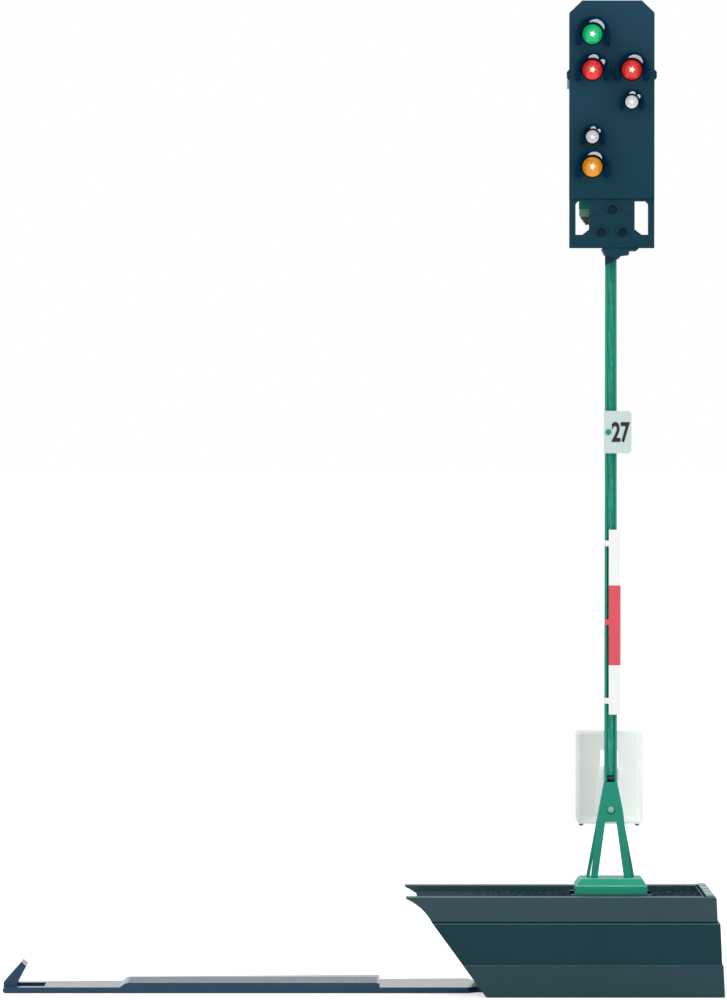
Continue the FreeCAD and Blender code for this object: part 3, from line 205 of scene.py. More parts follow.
def screen_moulding(name, low, high):
    """Moulded black-out screen: matte polystyrene, with painted light: a little lighter and bluer
    towards its top.
    """
    material, surface, tint, place = mottled(
        name, (1, 1, 1), 0.5, 0.1, 0.005, cloud_mm=4.0, amount=0.1, Specular_IOR_Level=0.15
    )
    bottom, top = (corner.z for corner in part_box("signal_screen"))
    height = add_node(material, "ShaderNodeSeparateXYZ", None, {0: place})
    share = add_node(
        material,
        "ShaderNodeMapRange",
        None,
        {"Value": height.outputs["Z"], "From Min": bottom, "From Max": top},
    )
    fade = add_node(
        material,
        "ShaderNodeMix",
        {"data_type": "RGBA"},
        {0: share.outputs["Result"], 6: (*low, 1.0), 7: (*high, 1.0)},
    )
    shade = add_node(
        material,
        "ShaderNodeMix",
        {"data_type": "RGBA", "blend_type": "MULTIPLY"},
        {0: 1.0, 6: fade.outputs[2], 7: tint.outputs[2]},
    )
    material.node_tree.links.new(shade.outputs[2], surface.inputs["Base Color"])
    return material


def banded_enamel(name, white, red, lower, upper):
    """Stove enamel on sheet metal: white, with one red band between two heights."""
    # painted light: a faint white glow, so that the white reads brighter
    material, surface, tint, place = mottled(
        name, white, 0.3, 0.2, 0.002, amount=0.03, Specular_IOR_Level=0.4,
        Emission_Color=(1, 1, 1, 1), Emission_Strength=0.06,
    )
    height = add_node(material, "ShaderNodeSeparateXYZ", None, {0: place}).outputs["Z"]
    above = add_node(
        material, "ShaderNodeMath", {"operation": "GREATER_THAN"}, {0: height, 1: lower}
    )
    below = add_node(
        material, "ShaderNodeMath", {"operation": "LESS_THAN"}, {0: height, 1: upper}
    )
    band = add_node(
        material,
        "ShaderNodeMath",
        {"operation": "MULTIPLY"},
        {0: above.outputs[0], 1: below.outputs[0]},
    )
    paint = add_node(
        material,
        "ShaderNodeMix",
        {"data_type": "RGBA"},
        {0: band.outputs[0], 6: tint.outputs[2], 7: (*red, 1.0)},
    )
    material.node_tree.links.new(paint.outputs[2], surface.inputs["Base Color"])
    return material


def painted_wire(name, paint, copper, height):
    """Lacquered copper wire, brushed over with the mast's paint above a height, with a painted
    shade on a short stretch below it.
    """
    material, surface, tint, place = mottled(
        name, paint, 0.38, 0.25, 0.03, cloud_mm=0.5, amount=0.45, Specular_IOR_Level=0.5
    )
    gap_below, half_gap = 0.24 * MM, 0.1 * MM
    level = add_node(material, "ShaderNodeSeparateXYZ", None, {0: place}).outputs["Z"]
    covered = add_node(
        material, "ShaderNodeMath", {"operation": "GREATER_THAN"}, {0: level, 1: height}
    )
    # painted shade: a short near-black stretch, where the wires dip behind the legs
    shadow = add_node(
        material,
        "ShaderNodeMath",
        {"operation": "COMPARE"},
        {0: level, 1: height - gap_below, 2: half_gap},
    )
    metal = add_node(
        material,
        "ShaderNodeMix",
        {"data_type": "RGBA"},
        {0: shadow.outputs[0], 6: (0.01, 0.02, 0.02, 1.0), 7: (*copper, 1.0)},
    )
    coat = add_node(
        material,
        "ShaderNodeMix",
        {"data_type": "RGBA"},
        {0: covered.outputs[0], 6: metal.outputs[2], 7: tint.outputs[2]},
    )
    material.node_tree.links.new(coat.outputs[2], surface.inputs["Base Color"])
    return material


def tinted_lens(name, colour, core, centre, radius, rays):
    """Tinted acrylic lens: deep colour, a paler rim, and the bright image of its lamp.

    The image is a small star, because the lens is cut in wedges behind its dome. The lens's glow is
    painted light: faint all over, strong in the star.
    """
    valley, point, bright_core = 0.24 * radius, 0.44 * radius, 0.08 * radius
    # painted light: the glow that the whole lens keeps
    faint_glow = 0.28
    material, surface, tint, place = mottled(
        name, colour, 0.12, 0.12, 0.004, cloud_mm=0.18, amount=0.14, Coat_Weight=0.6,
        Coat_Roughness=0.05,
    )
    moved = add_node(
        material,
        "ShaderNodeVectorMath",
        {"operation": "SUBTRACT"},
        {0: place, 1: (centre.x, 0.0, centre.z)},
    )
    parts = add_node(material, "ShaderNodeSeparateXYZ", None, {0: moved.outputs[0]})
    flat = add_node(
        material, "ShaderNodeCombineXYZ", None, {0: parts.outputs[0], 1: parts.outputs[2]}
    )
    reach = add_node(
        material, "ShaderNodeVectorMath", {"operation": "LENGTH"}, {0: flat.outputs[0]}
    )
    angle = add_node(
        material,
        "ShaderNodeMath",
        {"operation": "ARCTAN2"},
        {0: parts.outputs[2], 1: parts.outputs[0]},
    )
    turns = add_node(
        material, "ShaderNodeMath", {"operation": "MULTIPLY"}, {0: angle.outputs[0], 1: rays}
    )
    wave = add_node(
        material, "ShaderNodeMath", {"operation": "COSINE"}, {0: turns.outputs[0]}
    )
    star = add_node(
        material,
        "ShaderNodeMapRange",
        None,
        {
            "Value": wave.outputs[0],
            "From Min": -1.0,
            "From Max": 1.0,
            "To Min": valley,
            "To Max": point,
        },
    )
    glow = add_node(
        material,
        "ShaderNodeMapRange",
        {"interpolation_type": "SMOOTHSTEP"},
        {
            "Value": reach.outputs["Value"],
            "From Min": star.outputs["Result"],
            "From Max": bright_core,
        },
    )
    lit = add_node(
        material,
        "ShaderNodeMix",
        {"data_type": "RGBA"},
        {0: glow.outputs["Result"], 6: tint.outputs[2], 7: (*core, 1.0)},
    )
    links = material.node_tree.links
    links.new(lit.outputs[2], surface.inputs["Base Color"])
    # painted light: the whole lens glows faintly, and its middle strongly
    power = add_node(
        material,
        "ShaderNodeMapRange",
        None,
        {"Value": glow.outputs["Result"], "To Min": faint_glow, "To Max": 1.0},
    )
    links.new(lit.outputs[2], surface.inputs["Emission Color"])
    links.new(power.outputs["Result"], surface.inputs["Emission Strength"])
    return material


# ---- meshes and pieces ----
def body_of_node(node):
    """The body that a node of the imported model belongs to."""
    bodies = frame["record"]["behaviour"]["bodies"]
    return next(body for body, nodes in bodies.items() if node in nodes)


def make_piece(name, bm, material, nodes, hides=True, crease=30, others=()):
    """Turns a bmesh into a piece that rides with its nodes and, if asked, stands for them.

    others holds further materials: faces with index 1 take the first of them, and so on.
    A face whose index has no material takes the main one.
    """
    mesh = bpy.data.meshes.new(name)
    bm.to_mesh(mesh)
    bm.free()
    mesh.shade_smooth()
    mesh.set_sharp_from_angle(angle=math.radians(crease))
    for coat in (material, *others):
        mesh.materials.append(coat)
    for face in mesh.polygons:
        if face.material_index > len(others):
            face.material_index = 0
    piece = bpy.data.objects.new(name, mesh)
    bpy.context.scene.collection.objects.link(piece)
    shading = piece.modifiers.new("flat_faces_stay_flat", "WEIGHTED_NORMAL")
    shading.keep_sharp = True
    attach(piece, body_of_node(nodes[0]))
    if hides:
        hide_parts(*nodes)
    return piece


def merged(node):
    """A bmesh of a node's shape, with its loose triangles joined into whole faces."""
    bm = bmesh.new()
    bm.from_mesh(frame["nodes"][node].data)
    bmesh.ops.remove_doubles(bm, verts=bm.verts, dist=MERGE)
    bmesh.ops.dissolve_limit(bm, angle_limit=math.radians(1), verts=bm.verts, edges=bm.edges)
    return bm


def round_edges(bm, radius, segments=2, sharper_than=30):
    """Rounds every sharp edge; upper ones take the second material, lower ones the third."""
    edges = [
        edge
        for edge in bm.edges
        if edge.is_manifold and edge.calc_face_angle(0.0) > math.radians(sharper_than)
    ]
    made = bmesh.ops.bevel(
        bm,
        geom=edges,
        offset=radius,
        offset_type="OFFSET",
        segments=segments,
        profile=0.5,
        affect="EDGES",
        clamp_overlap=True,
        material=-1,
    )
    # a pale material given here paints a highlight on upper edges, and a dark one paints shade on
    # lower ones
    for face in made["faces"]:
        if abs(face.normal.z) > 0.1 and face.normal.y < 0.1:
            face.material_index = 1 if face.normal.z > 0 else 2


def soften(node, radius, material, extra=None, others=()):
    """Replaces a node with the same shape, its edges rounded as a mould leaves them."""
    bm = merged(node)
    round_edges(bm, radius)
    if extra:
        extra(bm)
    return make_piece(node + "_finished", bm, material, [node], others=others)


def paint_node(node, material):
    """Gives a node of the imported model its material."""
    node_object = frame["nodes"][node]
    node_object.data.materials.clear()
    node_object.data.materials.append(material)


def add_box(bm, low, high, radius=0.0, material_index=0):
    """Adds a block between two corners, with rounded edges if a radius is given."""
    low, high = Vector(low), Vector(high)
    size = Matrix.Diagonal((*(high - low), 1.0))
    made = bmesh.ops.create_cube(bm, size=1.0, matrix=Matrix.Translation((low + high) / 2) @ size)
    for face in {face for vert in made["verts"] for face in vert.link_faces}:
        face.material_index = material_index
    if radius:
        edges = list({edge for vert in made["verts"] for edge in vert.link_edges})
        bmesh.ops.bevel(
            bm, geom=edges, offset=radius, segments=2, profile=0.5, affect="EDGES", material=-1
        )


def turned(bm, profile, centre, steps=48):
    """Adds a turned shape: (radius, y) points spun round an axis along Y through centre."""
    points = [bm.verts.new((centre.x + radius, y, centre.z)) for radius, y in profile]
    edges = [bm.edges.new(pair) for pair in zip(points, points[1:])]
    bmesh.ops.spin(
        bm,
        geom=points + edges,
        cent=centre,
        axis=(0, 1, 0),
        angle=math.tau,
        steps=steps,
        use_merge=True,
    )
    bmesh.ops.remove_doubles(bm, verts=bm.verts, dist=MERGE)


def add_ring(bm, centre, inner, outer, front, back, steps=48):
    """Adds a flat ring round an axis along Y, between two radii and two depths."""
    before = set(bm.faces)
    ring = [(inner, back), (inner, front), (outer, front), (outer, back), (inner, back)]
    turned(bm, ring, centre, steps)
    bmesh.ops.recalc_face_normals(bm, faces=[face for face in bm.faces if face not in before])


def add_arch(bm, centre, inner, outer, y0, y1, drop, steps=32):
    """Adds an arched wall over a lamp, whose two sides reach down by drop."""
    ring = [(inner, y0), (outer, y0), (outer, y1), (inner, y1)]
    corners = [bm.verts.new((centre.x + radius, y, centre.z)) for radius, y in ring]
    edges = [bm.edges.new((corners[n], corners[n - 1])) for n in range(4)]
    spun = bmesh.ops.spin(
        bm, geom=corners + edges, cent=centre, axis=(0, 1, 0), angle=-math.pi, steps=steps
    )
    last = [item for item in spun["geom_last"] if isinstance(item, bmesh.types.BMEdge)]
    for end in (edges, last):
        leg = bmesh.ops.extrude_edge_only(bm, edges=end)
        feet = [item for item in leg["geom"] if isinstance(item, bmesh.types.BMVert)]
        bmesh.ops.translate(bm, verts=feet, vec=(0, 0, -drop))
        rim = [item for item in leg["geom"] if isinstance(item, bmesh.types.BMEdge)]
        bmesh.ops.holes_fill(bm, edges=rim, sides=4)


def lamp_centre(name):
    """The middle of a lens, on the screen's front face."""
    low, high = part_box("lens_" + name)
    return Vector(((low.x + high.x) / 2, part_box("signal_screen")[0].y, (low.z + high.z) / 2))


def lens_radius(name):
    """The lens's radius at the screen: its flange is a little larger."""
    low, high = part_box("lens_" + name)
    return (high.x - low.x) / 2 - bpy.context.scene.signal_lamps.flange


# ---- what a user would change ----
class StageSizes(bpy.types.PropertyGroup):
    lens_mm: FloatProperty(name="Lens", description="Focal length", default=196.2, min=20)
    camera_place: FloatVectorProperty(
        name="Camera", description="Where the camera stands", subtype="TRANSLATION",
        default=(-21.5 * MM, -474 * MM, 48.7 * MM),
    )
    camera_dip: FloatProperty(
        name="Dip", description="How far the camera looks down", subtype="ANGLE",
        default=math.radians(0.736),
    )
    sky: FloatProperty(name="Sky", description="Strength of the even light", default=0.8)
    key: FloatProperty(name="Key", description="Power of the large lamp, in watts", default=0.9)
    fill: FloatProperty(name="Fill", description="Power of the side lamp, in watts", default=0.25)


class BaseLooks(bpy.types.PropertyGroup):
    edge: FloatProperty(
        name="Edge", description="Rounding of the mouldings' edges", unit="LENGTH",
        default=0.08 * MM, precision=6,
    )
    tray: FloatVectorProperty(
        name="Tray", description="Colour of the lowest moulding", subtype="COLOR",
        default=linear("#2d4b54"),
    )
    ring: FloatVectorProperty(
        name="Ring", description="Colour of the middle moulding", subtype="COLOR",
        default=linear("#0f3e47"),
    )
    cover: FloatVectorProperty(
        name="Cover", description="Colour of the top moulding", subtype="COLOR",
        default=linear("#365259"),
    )
    # painted highlight: colour of the pale line on the mouldings' upper edges
    edge_colour: FloatVectorProperty(
        name="Edge colour", description="Colour of the rubbed upper edges", subtype="COLOR",
        default=linear("#86a9ae"),
    )
    # painted reflection: colour of the pale pads on the right rim
    pad_colour: FloatVectorProperty(
        name="Pad colour", description="Colour of the rubbed pads", subtype="COLOR",
        default=linear("#a5bbbf"),
    )
    pad_pitch: FloatProperty(
        name="Pad pitch", description="Spacing of the rows of pads on the right rim",
        unit="LENGTH", default=3.1 * MM, precision=6,
    )


class BallastLooks(bpy.types.PropertyGroup):
    stone: FloatProperty(
        name="Stone", description="Size of the moulded stones", unit="LENGTH",
        default=0.34 * MM, precision=6,
    )
    count: IntProperty(name="Count", description="Number of stones", default=2300, min=1)
    fade: FloatProperty(
        name="Fade", description="Left of here the stones grow flatter", unit="LENGTH",
        default=-7 * MM, precision=6,
    )
    colour: FloatVectorProperty(
        name="Colour", description="Colour of the stones", subtype="COLOR",
        default=linear("#0d3543"),
    )


class StripLooks(bpy.types.PropertyGroup):
    edge: FloatProperty(
        name="Edge", description="Rounding of the strip's edges", unit="LENGTH",
        default=0.05 * MM, precision=6,
    )
    colour: FloatVectorProperty(
        name="Colour", description="Colour of strip and hook", subtype="COLOR",
        default=linear("#1d3f5c"),
    )


class MastLooks(bpy.types.PropertyGroup):
    edge: FloatProperty(
        name="Edge", description="Rounding of painted edges", unit="LENGTH",
        default=0.035 * MM, precision=6,
    )
    paint: FloatVectorProperty(
        name="Paint", description="Colour of mast, legs and foot", subtype="COLOR",
        default=linear("#18997f"),
    )
    # painted light: the foot's green, lighter than the mast's paint, against the shade that the
    # base's rim casts on it
    foot: FloatVectorProperty(
        name="Foot", description="Colour of the moulded foot plate", subtype="COLOR",
        default=linear("#22aa8c"),
    )
    # painted highlight: pale green on the foot's upper edges and on the rivet's head
    rubbed: FloatVectorProperty(
        name="Rubbed", description="Colour of the foot's rubbed edges", subtype="COLOR",
        default=linear("#86d0b8"),
    )
    # painted light: the mast's green made lighter on the wires, against the shade in the channel
    wire: FloatVectorProperty(
        name="Wire", description="Colour of the paint on the wires", subtype="COLOR",
        default=linear("#53dcc5"),
    )
    copper: FloatVectorProperty(
        name="Copper", description="Colour of the lacquered wire", subtype="COLOR",
        default=linear("#8c8078"),
    )
    bare_wire: FloatProperty(
        name="Bare wire", description="Unpainted length above the legs", unit="LENGTH",
        default=0.55 * MM, precision=6,
    )


class SignLooks(bpy.types.PropertyGroup):
    white: FloatVectorProperty(
        name="White", description="Colour of the mast sign", subtype="COLOR",
        default=linear("#fbfdfd"),
    )
    plate: FloatVectorProperty(
        name="Plate", description="Colour of the number plate", subtype="COLOR",
        default=linear("#d6e8e6"),
    )
    red: FloatVectorProperty(
        name="Red", description="Colour of the mast sign's band", subtype="COLOR",
        default=linear("#e4304a"),
    )
    band_low: FloatProperty(
        name="Band foot", description="Red band's lower edge, as a share", subtype="FACTOR",
        default=0.267,
    )
    band_high: FloatProperty(
        name="Band top", description="Red band's upper edge, as a share", subtype="FACTOR",
        default=0.699,
    )


class CabinetLooks(bpy.types.PropertyGroup):
    colour: FloatVectorProperty(
        name="Colour", description="Colour of the cabinet", subtype="COLOR",
        default=linear("#dde2e0"),
    )
    # painted light: strength of the cabinet's glow, which no lamp gives
    glow: FloatProperty(
        name="Glow", description="Light that gathers in the moulding", default=0.35, min=0
    )
    edge: FloatProperty(
        name="Edge", description="Rounding of its edges", unit="LENGTH",
        default=0.09 * MM, precision=6,
    )


class HeadLooks(bpy.types.PropertyGroup):
    edge: FloatProperty(
        name="Edge", description="Rounding of the screen's edges", unit="LENGTH",
        default=0.06 * MM, precision=6,
    )
    # painted light: the screen's colour shades from low at its foot to high at its top
    low: FloatVectorProperty(
        name="Low", description="Colour at the screen's foot", subtype="COLOR",
        default=linear("#0d4050"),
    )
    high: FloatVectorProperty(
        name="High", description="Colour at the screen's top", subtype="COLOR",
        default=linear("#1e495f"),
    )
    hood: FloatVectorProperty(
        name="Hood", description="Colour of the hoods", subtype="COLOR",
        default=linear("#0b304d"),
    )


class LampLooks(bpy.types.PropertyGroup):
    flange: FloatProperty(
        name="Flange", description="How far a lens's flange stands out behind the screen",
        unit="LENGTH", default=0.2 * MM, precision=6,
    )
    # painted shade: width of the black ring round each lens
    gap: FloatProperty(
        name="Gap", description="Dark gap round each lens", unit="LENGTH",
        default=0.08 * MM, precision=6,
    )
    green: FloatVectorProperty(
        name="Green", description="Green lens", subtype="COLOR", default=linear("#04cf80")
    )
    red: FloatVectorProperty(
        name="Red", description="Red lenses", subtype="COLOR", default=linear("#f0322e")
    )
    yellow: FloatVectorProperty(
        name="Yellow", description="Yellow lens", subtype="COLOR", default=linear("#fb9c1e")
    )
    white: FloatVectorProperty(
        name="White", description="White lenses", subtype="COLOR", default=linear("#f6f8f7")
    )


# ---- operators ----
class SIGNAL_OT_stage(bpy.types.Operator):
    """Sets the camera, the pale floor and the soft studio light"""

    bl_idname = "signal.stage"
    bl_label = "Stage"

    def execute(self, context):
        sizes = context.scene.signal_stage
        self.camera(context, sizes)
        self.floor()
        self.lamps(sizes)
        self.sky(context, sizes)
        context.scene.view_settings.view_transform = "Standard"
        return {"FINISHED"}

    def camera(self, context, sizes):
        """A long lens, nearly level, from a little left of the mast."""
        data = bpy.data.cameras.new("camera")
        data.lens = sizes.lens_mm
        data.sensor_width = 36
        data.clip_start = 10 * MM
        data.clip_end = 50.0
        camera = bpy.data.objects.new("camera", data)
        camera.location = sizes.camera_place
        camera.rotation_euler = (math.pi / 2 - sizes.camera_dip, 0, 0)
        context.scene.collection.objects.link(camera)
        context.scene.camera = camera

    def floor(self):
        """A white floor that fades into the white background and keeps a soft shadow."""
        bm = bmesh.new()
        half_side, sunk = 6.0, 0.02 * MM
        bmesh.ops.create_grid(bm, x_segments=1, y_segments=1, size=half_side)
        bmesh.ops.translate(bm, verts=bm.verts, vec=(0, 0, -sunk))
        mesh = bpy.data.meshes.new("floor")
        bm.to_mesh(mesh)
        bm.free()
        floor = bpy.data.objects.new("floor", mesh)
        bpy.context.scene.collection.objects.link(floor)
        # matte white card, lifted a little where it is seen, so that only the shadow shows
        material, surface = new_material("white_card", {"Roughness": 0.9})
        surface.inputs["Base Color"].default_value = (0.86, 0.86, 0.86, 1.0)
        surface.inputs["Specular IOR Level"].default_value = 0.0
        seen = add_node(material, "ShaderNodeLightPath").outputs["Is Camera Ray"]
        lift = add_node(
            material, "ShaderNodeMath", {"operation": "MULTIPLY"}, {0: seen, 1: 0.5}
        )
        surface.inputs["Emission Color"].default_value = (1, 1, 1, 1)
        material.node_tree.links.new(lift.outputs[0], surface.inputs["Emission Strength"])
        mesh.materials.append(material)

    def lamps(self, sizes):
        """A large soft lamp high on the left and a weak one on the right."""
        middle = Vector((0, 0, 45 * MM))
        places = (
            ("key", Vector((-0.35, -0.42, 0.55)), 0.45, sizes.key),
            ("fill", Vector((0.5, -0.25, 0.2)), 0.4, sizes.fill),
        )
        for name, place, size, power in places:
            data = bpy.data.lights.new(name, "AREA")
            data.shape = "SQUARE"
            data.size = size
            data.energy = power
            lamp = bpy.data.objects.new(name, data)
            lamp.location = place
            lamp.rotation_euler = (middle - place).to_track_quat("-Z", "Y").to_euler()
            bpy.context.scene.collection.objects.link(lamp)

    def sky(self, context, sizes):
        """Even light all round; it is plain white where it is seen or reflected."""
        world = bpy.data.worlds.new("studio")
        context.scene.world = world
        world.use_nodes = True
        world.node_tree.nodes.clear()
        path = add_node(world, "ShaderNodeLightPath")
        seen = add_node(
            world,
            "ShaderNodeMath",
            {"operation": "MAXIMUM"},
            {0: path.outputs["Is Camera Ray"], 1: path.outputs["Is Transmission Ray"]},
        )
        strength = add_node(
            world,
            "ShaderNodeMapRange",
            None,
            {"Value": seen.outputs[0], "To Min": sizes.sky, "To Max": 1.0},
        )
        sky = add_node(
            world,
            "ShaderNodeBackground",
            None,
            {"Color": (1, 1, 1, 1), "Strength": strength.outputs["Result"]},
        )
        add_node(world, "ShaderNodeOutputWorld", None, {"Surface": sky.outputs[0]})


class SIGNAL_OT_base(bpy.types.Operator):
    """Finishes the base's three mouldings and its screws"""

    bl_idname = "signal.base"
    bl_label = "Base"

    def execute(self, context):
        looks = context.scene.signal_base
        # painted highlight: a thin pale line on the upper edges of the mouldings
        edge_highlight, *_ = mottled(
            "burnished_mould_edge", looks.edge_colour, 0.35, 0.3, 0.004, Specular_IOR_Level=0.3
        )
        for node, colour in (("tray", looks.tray), ("ring", looks.ring)):
            moulding = slate_moulding("moulded_slate_" + node, colour)
            soften("base_" + node, looks.edge, moulding, others=(edge_highlight,))
        cover = slate_moulding("moulded_slate_cover", looks.cover)
        # the cover's foot, where no light reaches: a dark line
        seam, *_ = mottled(
            "unlit_mould_seam", linear("#0d2a30"), 0.7, 0.2, 0.004, Specular_IOR_Level=0.0
        )
        # painted reflection: the pads pale, as if mirroring the pale room at a low angle, with
        # cloudy patches
        rubbed, *_ = mottled(
            "rubbed_mould_pad", looks.pad_colour, 0.45, 0.15, 0.006, cloud_mm=0.8, amount=0.3,
            Specular_IOR_Level=0.25,
        )
        coats = (edge_highlight, seam, rubbed)
        soften("base_cover", looks.edge, cover, lambda bm: self.detail(bm, looks), coats)
        # bright zinc on small steel screws: a soft grey shine
        steel, *_ = mottled(
            "zinc_plated_steel", linear("#9aa0a3"), 0.32, 0.1, 0.004, Metallic=1.0
        )
        soften("base_screws", 0.03 * MM, steel)
        return {"FINISHED"}

    def detail(self, bm, looks):
        """The unlit seam above the ring, and the pads."""
        seam_height = 0.17 * MM
        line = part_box("base_cover")[0].z + seam_height
        bmesh.ops.bisect_plane(
            bm, geom=[*bm.verts, *bm.edges, *bm.faces], dist=MERGE, plane_co=(0, 0, line),
            plane_no=(0, 0, 1),
        )
        for face in bm.faces:
            if face.calc_center_median().z < line and abs(face.normal.z) < 0.9:
                face.material_index = 2
        self.pads(bm, looks)

    def pads(self, bm, looks):
        """Wide pads along the right rim, pale with painted reflection, parted by grooves dark with
        painted shade, and a row of teeth in front.
        """
        low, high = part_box("base_cover")
        seam_coat, pad_coat = 2, 3
        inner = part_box("ballast_inlay")[1].x + 0.1 * MM
        right = high.x - 0.32 * MM
        top = high.z
        sunk, groove_proud, proud = 0.05 * MM, 0.01 * MM, 0.15 * MM
        front, back = low.y + 0.25 * MM, high.y - 0.2 * MM
        groove_end = (right, back, top + groove_proud)
        # painted shade: a dark slab under the pads, seen as the grooves between them
        add_box(bm, (inner, front, top - sunk), groove_end, 0, seam_coat)
        side_groove = 0.22 * MM
        inner += side_groove
        teeth, tooth_share, tooth_length, tooth_edge = 5, 0.6, 0.9 * MM, 0.02 * MM
        width = (right - inner) / teeth
        for n in range(teeth):
            x = inner + n * width
            start = (x, front, top - sunk)
            end = (x + width * tooth_share, front + tooth_length, top + proud)
            add_box(bm, start, end, tooth_edge, pad_coat)
        pad_length, pad_edge, teeth_row = 0.74 * looks.pad_pitch, 0.03 * MM, 1.35 * MM
        front += teeth_row
        while front + pad_length < back:
            start, end = (inner, front, top - sunk), (right, front + pad_length, top + proud)
            add_box(bm, start, end, pad_edge, pad_coat)
            front += looks.pad_pitch


class SIGNAL_OT_ballast(bpy.types.Operator):
    """Lays the moulded stones on the deck"""

    bl_idname = "signal.ballast"
    bl_label = "Ballast"

    def execute(self, context):
        looks = context.scene.signal_ballast
        low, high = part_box("ballast_inlay")
        hole_low, hole_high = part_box("foot_plate")
        margin = 0.6 * MM  # kept free round the foot plate
        least_sunk, most_sunk, fade_length = 0.08, 0.25, 8 * MM
        draw = random.Random(27)
        bm = merged("ballast_inlay")
        made = 0
        while made < looks.count:
            x = draw.uniform(low.x + looks.stone / 2, high.x - looks.stone / 2)
            y = draw.uniform(low.y + looks.stone / 2, high.y - looks.stone / 2)
            size = looks.stone * draw.uniform(0.55, 1.0)
            turn = Matrix.Rotation(draw.uniform(0, math.tau), 4, "Z")
            tip = Matrix.Rotation(draw.uniform(0, math.tau), 4, "X")
            flat = draw.uniform(0.45, 0.7)
            inside_x = hole_low.x - margin < x < hole_high.x + margin
            inside_y = hole_low.y - margin < y < hole_high.y + margin
            if inside_x and inside_y:
                continue
            shape = Matrix.Diagonal((1.0, draw.uniform(0.7, 1.0), flat, 1.0))
            faded = min(1.0, max(0.0, (looks.fade - x) / fade_length))
            sunk = size * (least_sunk + (most_sunk - least_sunk) * faded)
            place = Matrix.Translation((x, y, high.z - sunk))
            bmesh.ops.create_icosphere(
                bm, subdivisions=1, radius=size / 2, matrix=place @ turn @ shape @ tip
            )
            made += 1
        # stones moulded in matte polystyrene, each a slightly different blue
        stone, *_ = mottled(
            "moulded_ballast", looks.colour, 0.65, 0.1, 0.01, cloud_mm=0.6, amount=0.4,
            Specular_IOR_Level=0.05,
        )
        make_piece("ballast_stones", bm, stone, ["ballast_inlay"], crease=15)
        self.pocket(hole_low, hole_high, high.z)
        return {"FINISHED"}

    def pocket(self, low, high, deck):
        """Painted shade round the foot plate: a thin black frame that stands a little above the
        deck, where the gap lies unlit.
        """
        inner, outer, proud, clear = 0.04 * MM, 0.4 * MM, 0.1 * MM, 0.005 * MM
        z = low.z + clear
        bm = bmesh.new()
        for x0, x1 in ((low.x - outer, low.x - inner), (high.x + inner, high.x + outer)):
            add_box(bm, (x0, low.y + outer, z), (x1, high.y - outer, deck + proud))
        # a gap that no light reaches: almost black, with no shine
        gap, *_ = mottled(
            "unlit_pocket_gap", linear("#06161c"), 0.8, 0.2, 0.004, Specular_IOR_Level=0.0
        )
        make_piece("foot_pocket_gap", bm, gap, ["ballast_inlay"], hides=False)


class SIGNAL_OT_electronics(bpy.types.Operator):
    """Gives the circuit boards, sockets and pins their materials"""

    bl_idname = "signal.electronics"
    bl_label = "Electronics"

    def execute(self, context):
        # glossy green resist, cloudy over the copper below it
        resist, *_ = mottled(
            "solder_resist", linear("#14602f"), 0.35, 0.15, 0.004, cloud_mm=0.8, amount=0.2
        )
        # moulded epoxy: nearly black and dull
        epoxy, *_ = mottled("chip_epoxy", linear("#1b1c1e"), 0.55, 0.06, 0.006)
        # moulded nylon, black and natural: an even satin
        nylon, *_ = mottled("black_nylon", linear("#222427"), 0.45, 0.1, 0.005)
        plug, *_ = mottled("white_nylon", linear("#e6e4da"), 0.4, 0.1, 0.004, amount=0.04)
        # bright rolled aluminium, and warm turned brass
        tin, *_ = mottled("rolled_aluminium", linear("#c3c6c9"), 0.3, 0.2, 0.003, Metallic=1.0)
        brass, *_ = mottled("turned_brass", linear("#c9a252"), 0.25, 0.1, 0.003, Metallic=1.0)
        # ivory ceramic cases of the diodes
        diode, *_ = mottled("diode_ceramic", linear("#efeee4"), 0.3, 0.1, 0.003, amount=0.04)
        wear = {
            "base_board": resist,
            "head_board": resist,
            "decoder_chip": epoxy,
            "board_capacitor": tin,
            "cable_socket": plug,
            "socket_block": nylon,
            "plug_block": nylon,
            "socket_contacts": brass,
            "plug_pins": brass,
            "head_leds": diode,
        }
        for node, material in wear.items():
            paint_node(node, material)
        return {"FINISHED"}


class SIGNAL_OT_strip(bpy.types.Operator):
    """Finishes the strip under the roadbed and its hook"""

    bl_idname = "signal.strip"
    bl_label = "Strip and hook"

    def execute(self, context):
        looks = context.scene.signal_strip
        # hard blue nylon, polished by its mould: it mirrors the pale room at a low angle
        nylon, *_ = mottled(
            "moulded_blue_nylon", looks.colour, 0.12, 0.5, 0.0001, cloud_mm=4.0,
            Specular_Tint=(0.55, 0.78, 0.86, 1.0), Coat_Weight=0.25, Coat_Roughness=0.03,
        )
        soften("track_strip", looks.edge, nylon, self.pad_grain)
        soften("edge_hook", looks.edge, nylon)
        return {"FINISHED"}

    def pad_grain(self, bm):
        """Fine ribs along the raised pad, as wide in all as its narrow end."""
        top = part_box("track_strip")[1].z
        faces = [
            f for f in bm.faces if f.normal.z > 0.99 and abs(f.calc_center_median().z - top) < MERGE
        ]
        if not faces:
            return
        pitch, margin, sunk, proud = 0.45 * MM, 0.2 * MM, 0.03 * MM, 0.025 * MM
        rib = 0.6 * pitch
        xs = [vert.co.x for face in faces for vert in face.verts]
        left, right = min(xs), max(xs)
        ys = [v.co.y for face in faces for v in face.verts if v.co.x < left + margin]
        y = min(ys) + margin
        while y + pitch < max(ys) - margin:
            add_box(bm, (left + margin, y, top - sunk), (right - margin, y + rib, top + proud))
            y += pitch


def mast_paint(name, colour):
    """Brushed-on signal green over metal and plastic: satin."""
    material, *_ = mottled(
        name, colour, 0.38, 0.3, 0.008, cloud_mm=1.2, amount=0.12, Specular_IOR_Level=0.3
    )
    return material


